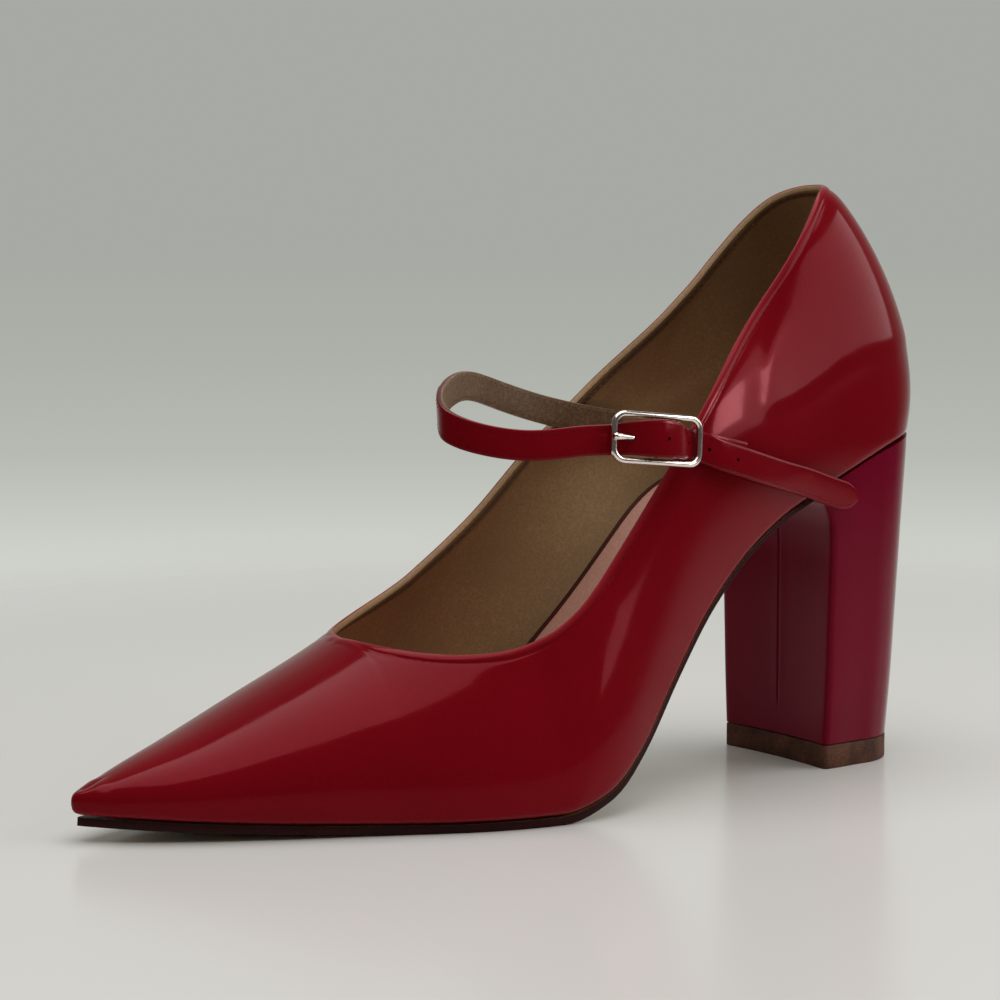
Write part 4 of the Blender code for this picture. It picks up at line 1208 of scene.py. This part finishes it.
# ---- stage ----
CAMERA_PLACE = Vector((0.46027, 0.54370, 0.13583))
CAMERA_TARGET = Vector((0.10221, -0.00322, 0.07399))
CAMERA_LENS = 94.2
BACKDROP = ((0.0, "#d4d5d0"), (0.22, "#d2d4ce"), (0.32, "#c8cac4"), (0.5, "#b7bab2"),
            (0.75, "#acb0a8"), (1.0, "#a7aaa4"))    # from below the far edge of the table upwards


def aim(thing, place, target):
    thing.location = place
    thing.rotation_euler = (Vector(target) - Vector(place)).to_track_quat("-Z", "Y").to_euler()


def add_softbox(name, place, target, width, height, power):
    """A rectangular soft light turned to a place on the shoe, in metres and watts."""
    light = bpy.data.lights.new(name, "AREA")
    light.shape = "RECTANGLE"
    light.size, light.size_y = width, height
    light.energy = power
    lamp = scene_object(name, light)
    aim(lamp, place, target)
    return lamp


def studio_world():
    """A pale backdrop; what the shoe reflects is the same light behind it and a dim room."""
    world = bpy.data.worlds.new("studio")
    world.use_nodes = True
    world.node_tree.nodes.clear()
    node = partial(add_node, world.node_tree)
    direction = node("TexCoord").outputs["Generated"]
    height = node("SeparateXYZ", {"Vector": direction}).outputs["Z"]
    level = node("MapRange", {"Value": height, "From Min": -0.15, "From Max": 0.0})
    backdrop = node("ValToRGB", {"Fac": level})
    ramp = backdrop.color_ramp.elements
    for place, _ in BACKDROP[1:-1]:
        ramp.new(place)
    for step, (_, code) in zip(ramp, BACKDROP):
        step.color = (*linear(code), 1.0)
    behind = node("VectorMath", {0: direction, 1: (-0.55, -0.83, 0.0)},
                  operation="DOT_PRODUCT").outputs["Value"]
    sweep = node("MapRange", {"Value": behind, "From Min": 0.35, "From Max": 0.9})
    around = node("Mix", {FACTOR: sweep, FIRST: shade("#d2d0cc", 0.12), SECOND: backdrop},
                  data_type="RGBA")
    choice = node("MixShader", {0: node("LightPath").outputs["Is Camera Ray"],
                                1: node("Background", {"Color": around}),
                                2: node("Background", {"Color": backdrop})})
    node("OutputWorld", {"Surface": choice})
    return world


def build_stage(context):
    scene = context.scene
    bm = bmesh.new()
    bmesh.ops.create_circle(bm, cap_ends=True, segments=96, radius=3.0)
    floor = scene_object("table_top", mesh_from(bm, "table_top"))
    floor.data.materials.append(satin_paint("white_satin_paint", "#e5e3df", 0.22))
    scene.world = studio_world()
    scene.view_settings.view_transform = "Standard"

    add_softbox("overhead", (0.10, 0.10, 1.5), (0.09, 0.0, 0.05), 1.7, 1.7, 22.8)
    add_softbox("window", (-1.024, 0.744, 0.669), (0.03, 0.02, 0.10), 1.28, 0.78, 6.5)
    card = add_softbox("card", (0.0009, 0.1057, 0.138), (0.0589, 0.0342, 0.099), 0.033, 0.040,
                       0.041)
    card.visible_diffuse = card.visible_camera = False

    camera = scene_object("camera", bpy.data.cameras.new("camera"))
    camera.data.lens = CAMERA_LENS
    camera.data.clip_start, camera.data.clip_end = 0.01, 50.0
    aim(camera, CAMERA_PLACE, CAMERA_TARGET)
    scene.camera = camera


# ---- the add-on ----
def length_property(name, description, size, least, most):
    return FloatProperty(name=name, description=description, default=size * MM, min=least * MM,
                         max=most * MM, precision=4, subtype="DISTANCE", unit="LENGTH")


def colour_property(name, description, code):
    return FloatVectorProperty(name=name, description=description, subtype="COLOR", size=3, min=0.0,
                               max=1.0, default=linear(code))


class CourtShoeSizes(bpy.types.PropertyGroup):
    """Sizes that a maker would change without recutting the last."""
    wall: length_property("Upper thickness", "Leather and lining together", 1.8, 1.0, 3.0)
    stitch_pitch: length_property("Stitch pitch", "From one stitch to the next", 2.1, 1.0, 5.0)


class CourtShoeColours(bpy.types.PropertyGroup):
    """Colours of the shoe's leathers, rubber, thread and metal."""
    patent: colour_property("Patent", "Red of the patent leather", "#820a17")
    patent_deep: colour_property("Patent, deep", "Where the dye lies deeper", "#740812")
    heel: colour_property("Heel cover", "Red of the heel's cover", "#7c102b")
    heel_deep: colour_property("Heel cover, deep", "Where the dye lies deeper", "#6e0d23")
    lining: colour_property("Lining", "Lining of the upper and straps", "#b58f63")
    sock: colour_property("Sock", "Smooth leather over the insole", "#c58f7c")
    sole: colour_property("Sole", "Underside of the sole", "#b89b68")
    top_piece: colour_property("Top piece", "Rubber under the heel", "#6e4430")
    thread: colour_property("Thread", "Sewing thread", "#620a14")
    # Pale warm plating; its pink tint is a painted reflection of the red leather around it.
    buckle: colour_property("Buckle", "Plating of the buckle", "#f0e4da")


def run(context, *builders):
    """Build pieces with the sizes and finishes that are set."""
    for build in builders:
        build(context.scene.court_shoe_sizes, finishes(context))
    return {"FINISHED"}


class COURTSHOE_OT_upper(bpy.types.Operator):
    """Vamp and quarters in one lasted shell, with its folded topline and its stitching"""
    bl_idname = "court_shoe.upper"
    bl_label = "Upper"

    def execute(self, context):
        return run(context, build_upper)


class COURTSHOE_OT_bottom(bpy.types.Operator):
    """Insole with its sock, and the leather sole"""
    bl_idname = "court_shoe.bottom"
    bl_label = "Insole and sole"

    def execute(self, context):
        return run(context, build_insole, build_outsole)


class COURTSHOE_OT_heel(bpy.types.Operator):
    """Covered block heel and its rubber top piece"""
    bl_idname = "court_shoe.heel"
    bl_label = "Heel"

    def execute(self, context):
        return run(context, build_heel, build_top_piece)


class COURTSHOE_OT_straps(bpy.types.Operator):
    """Long instep strap with its holes and stitching, and the short strap that holds the buckle"""
    bl_idname = "court_shoe.straps"
    bl_label = "Straps"

    def execute(self, context):
        return run(context, build_instep_strap, build_buckle_strap)


class COURTSHOE_OT_buckle(bpy.types.Operator):
    """Buckle frame with its bar, and its prong"""
    bl_idname = "court_shoe.buckle"
    bl_label = "Buckle"

    def execute(self, context):
        return run(context, build_buckle)


class COURTSHOE_OT_stage(bpy.types.Operator):
    """Table top, lights and camera"""
    bl_idname = "court_shoe.stage"
    bl_label = "Stage"

    def execute(self, context):
        build_stage(context)
        return {"FINISHED"}


OPERATORS = (COURTSHOE_OT_upper, COURTSHOE_OT_bottom, COURTSHOE_OT_heel, COURTSHOE_OT_straps,
             COURTSHOE_OT_buckle, COURTSHOE_OT_stage)


class COURTSHOE_PT_panel(bpy.types.Panel):
    """Lists the sizes, the colours and the pieces"""
    bl_label = "Court Shoe"
    bl_idname = "COURTSHOE_PT_panel"
    bl_space_type = "VIEW_3D"
    bl_region_type = "UI"
    bl_category = "Court Shoe"

    def draw(self, context):
        for settings in (context.scene.court_shoe_sizes, context.scene.court_shoe_colours):
            box = self.layout.box()
            for name in settings.__annotations__:
                box.prop(settings, name)
        for operator in OPERATORS:
            self.layout.operator(operator.bl_idname)


CLASSES = (CourtShoeSizes, CourtShoeColours, *OPERATORS, COURTSHOE_PT_panel)


def register():
    for item in CLASSES:
        bpy.utils.register_class(item)
    bpy.types.Scene.court_shoe_sizes = PointerProperty(type=CourtShoeSizes)
    bpy.types.Scene.court_shoe_colours = PointerProperty(type=CourtShoeColours)


def unregister():
    del bpy.types.Scene.court_shoe_colours
    del bpy.types.Scene.court_shoe_sizes
    for item in reversed(CLASSES):
        bpy.utils.unregister_class(item)


def main():
    register()
    bpy.ops.court_shoe.upper()
    bpy.ops.court_shoe.bottom()
    bpy.ops.court_shoe.heel()
    bpy.ops.court_shoe.straps()
    bpy.ops.court_shoe.buckle()
    bpy.ops.court_shoe.stage()
    bpy.context.view_layer.update()


if __name__ == "__main__":
    main()
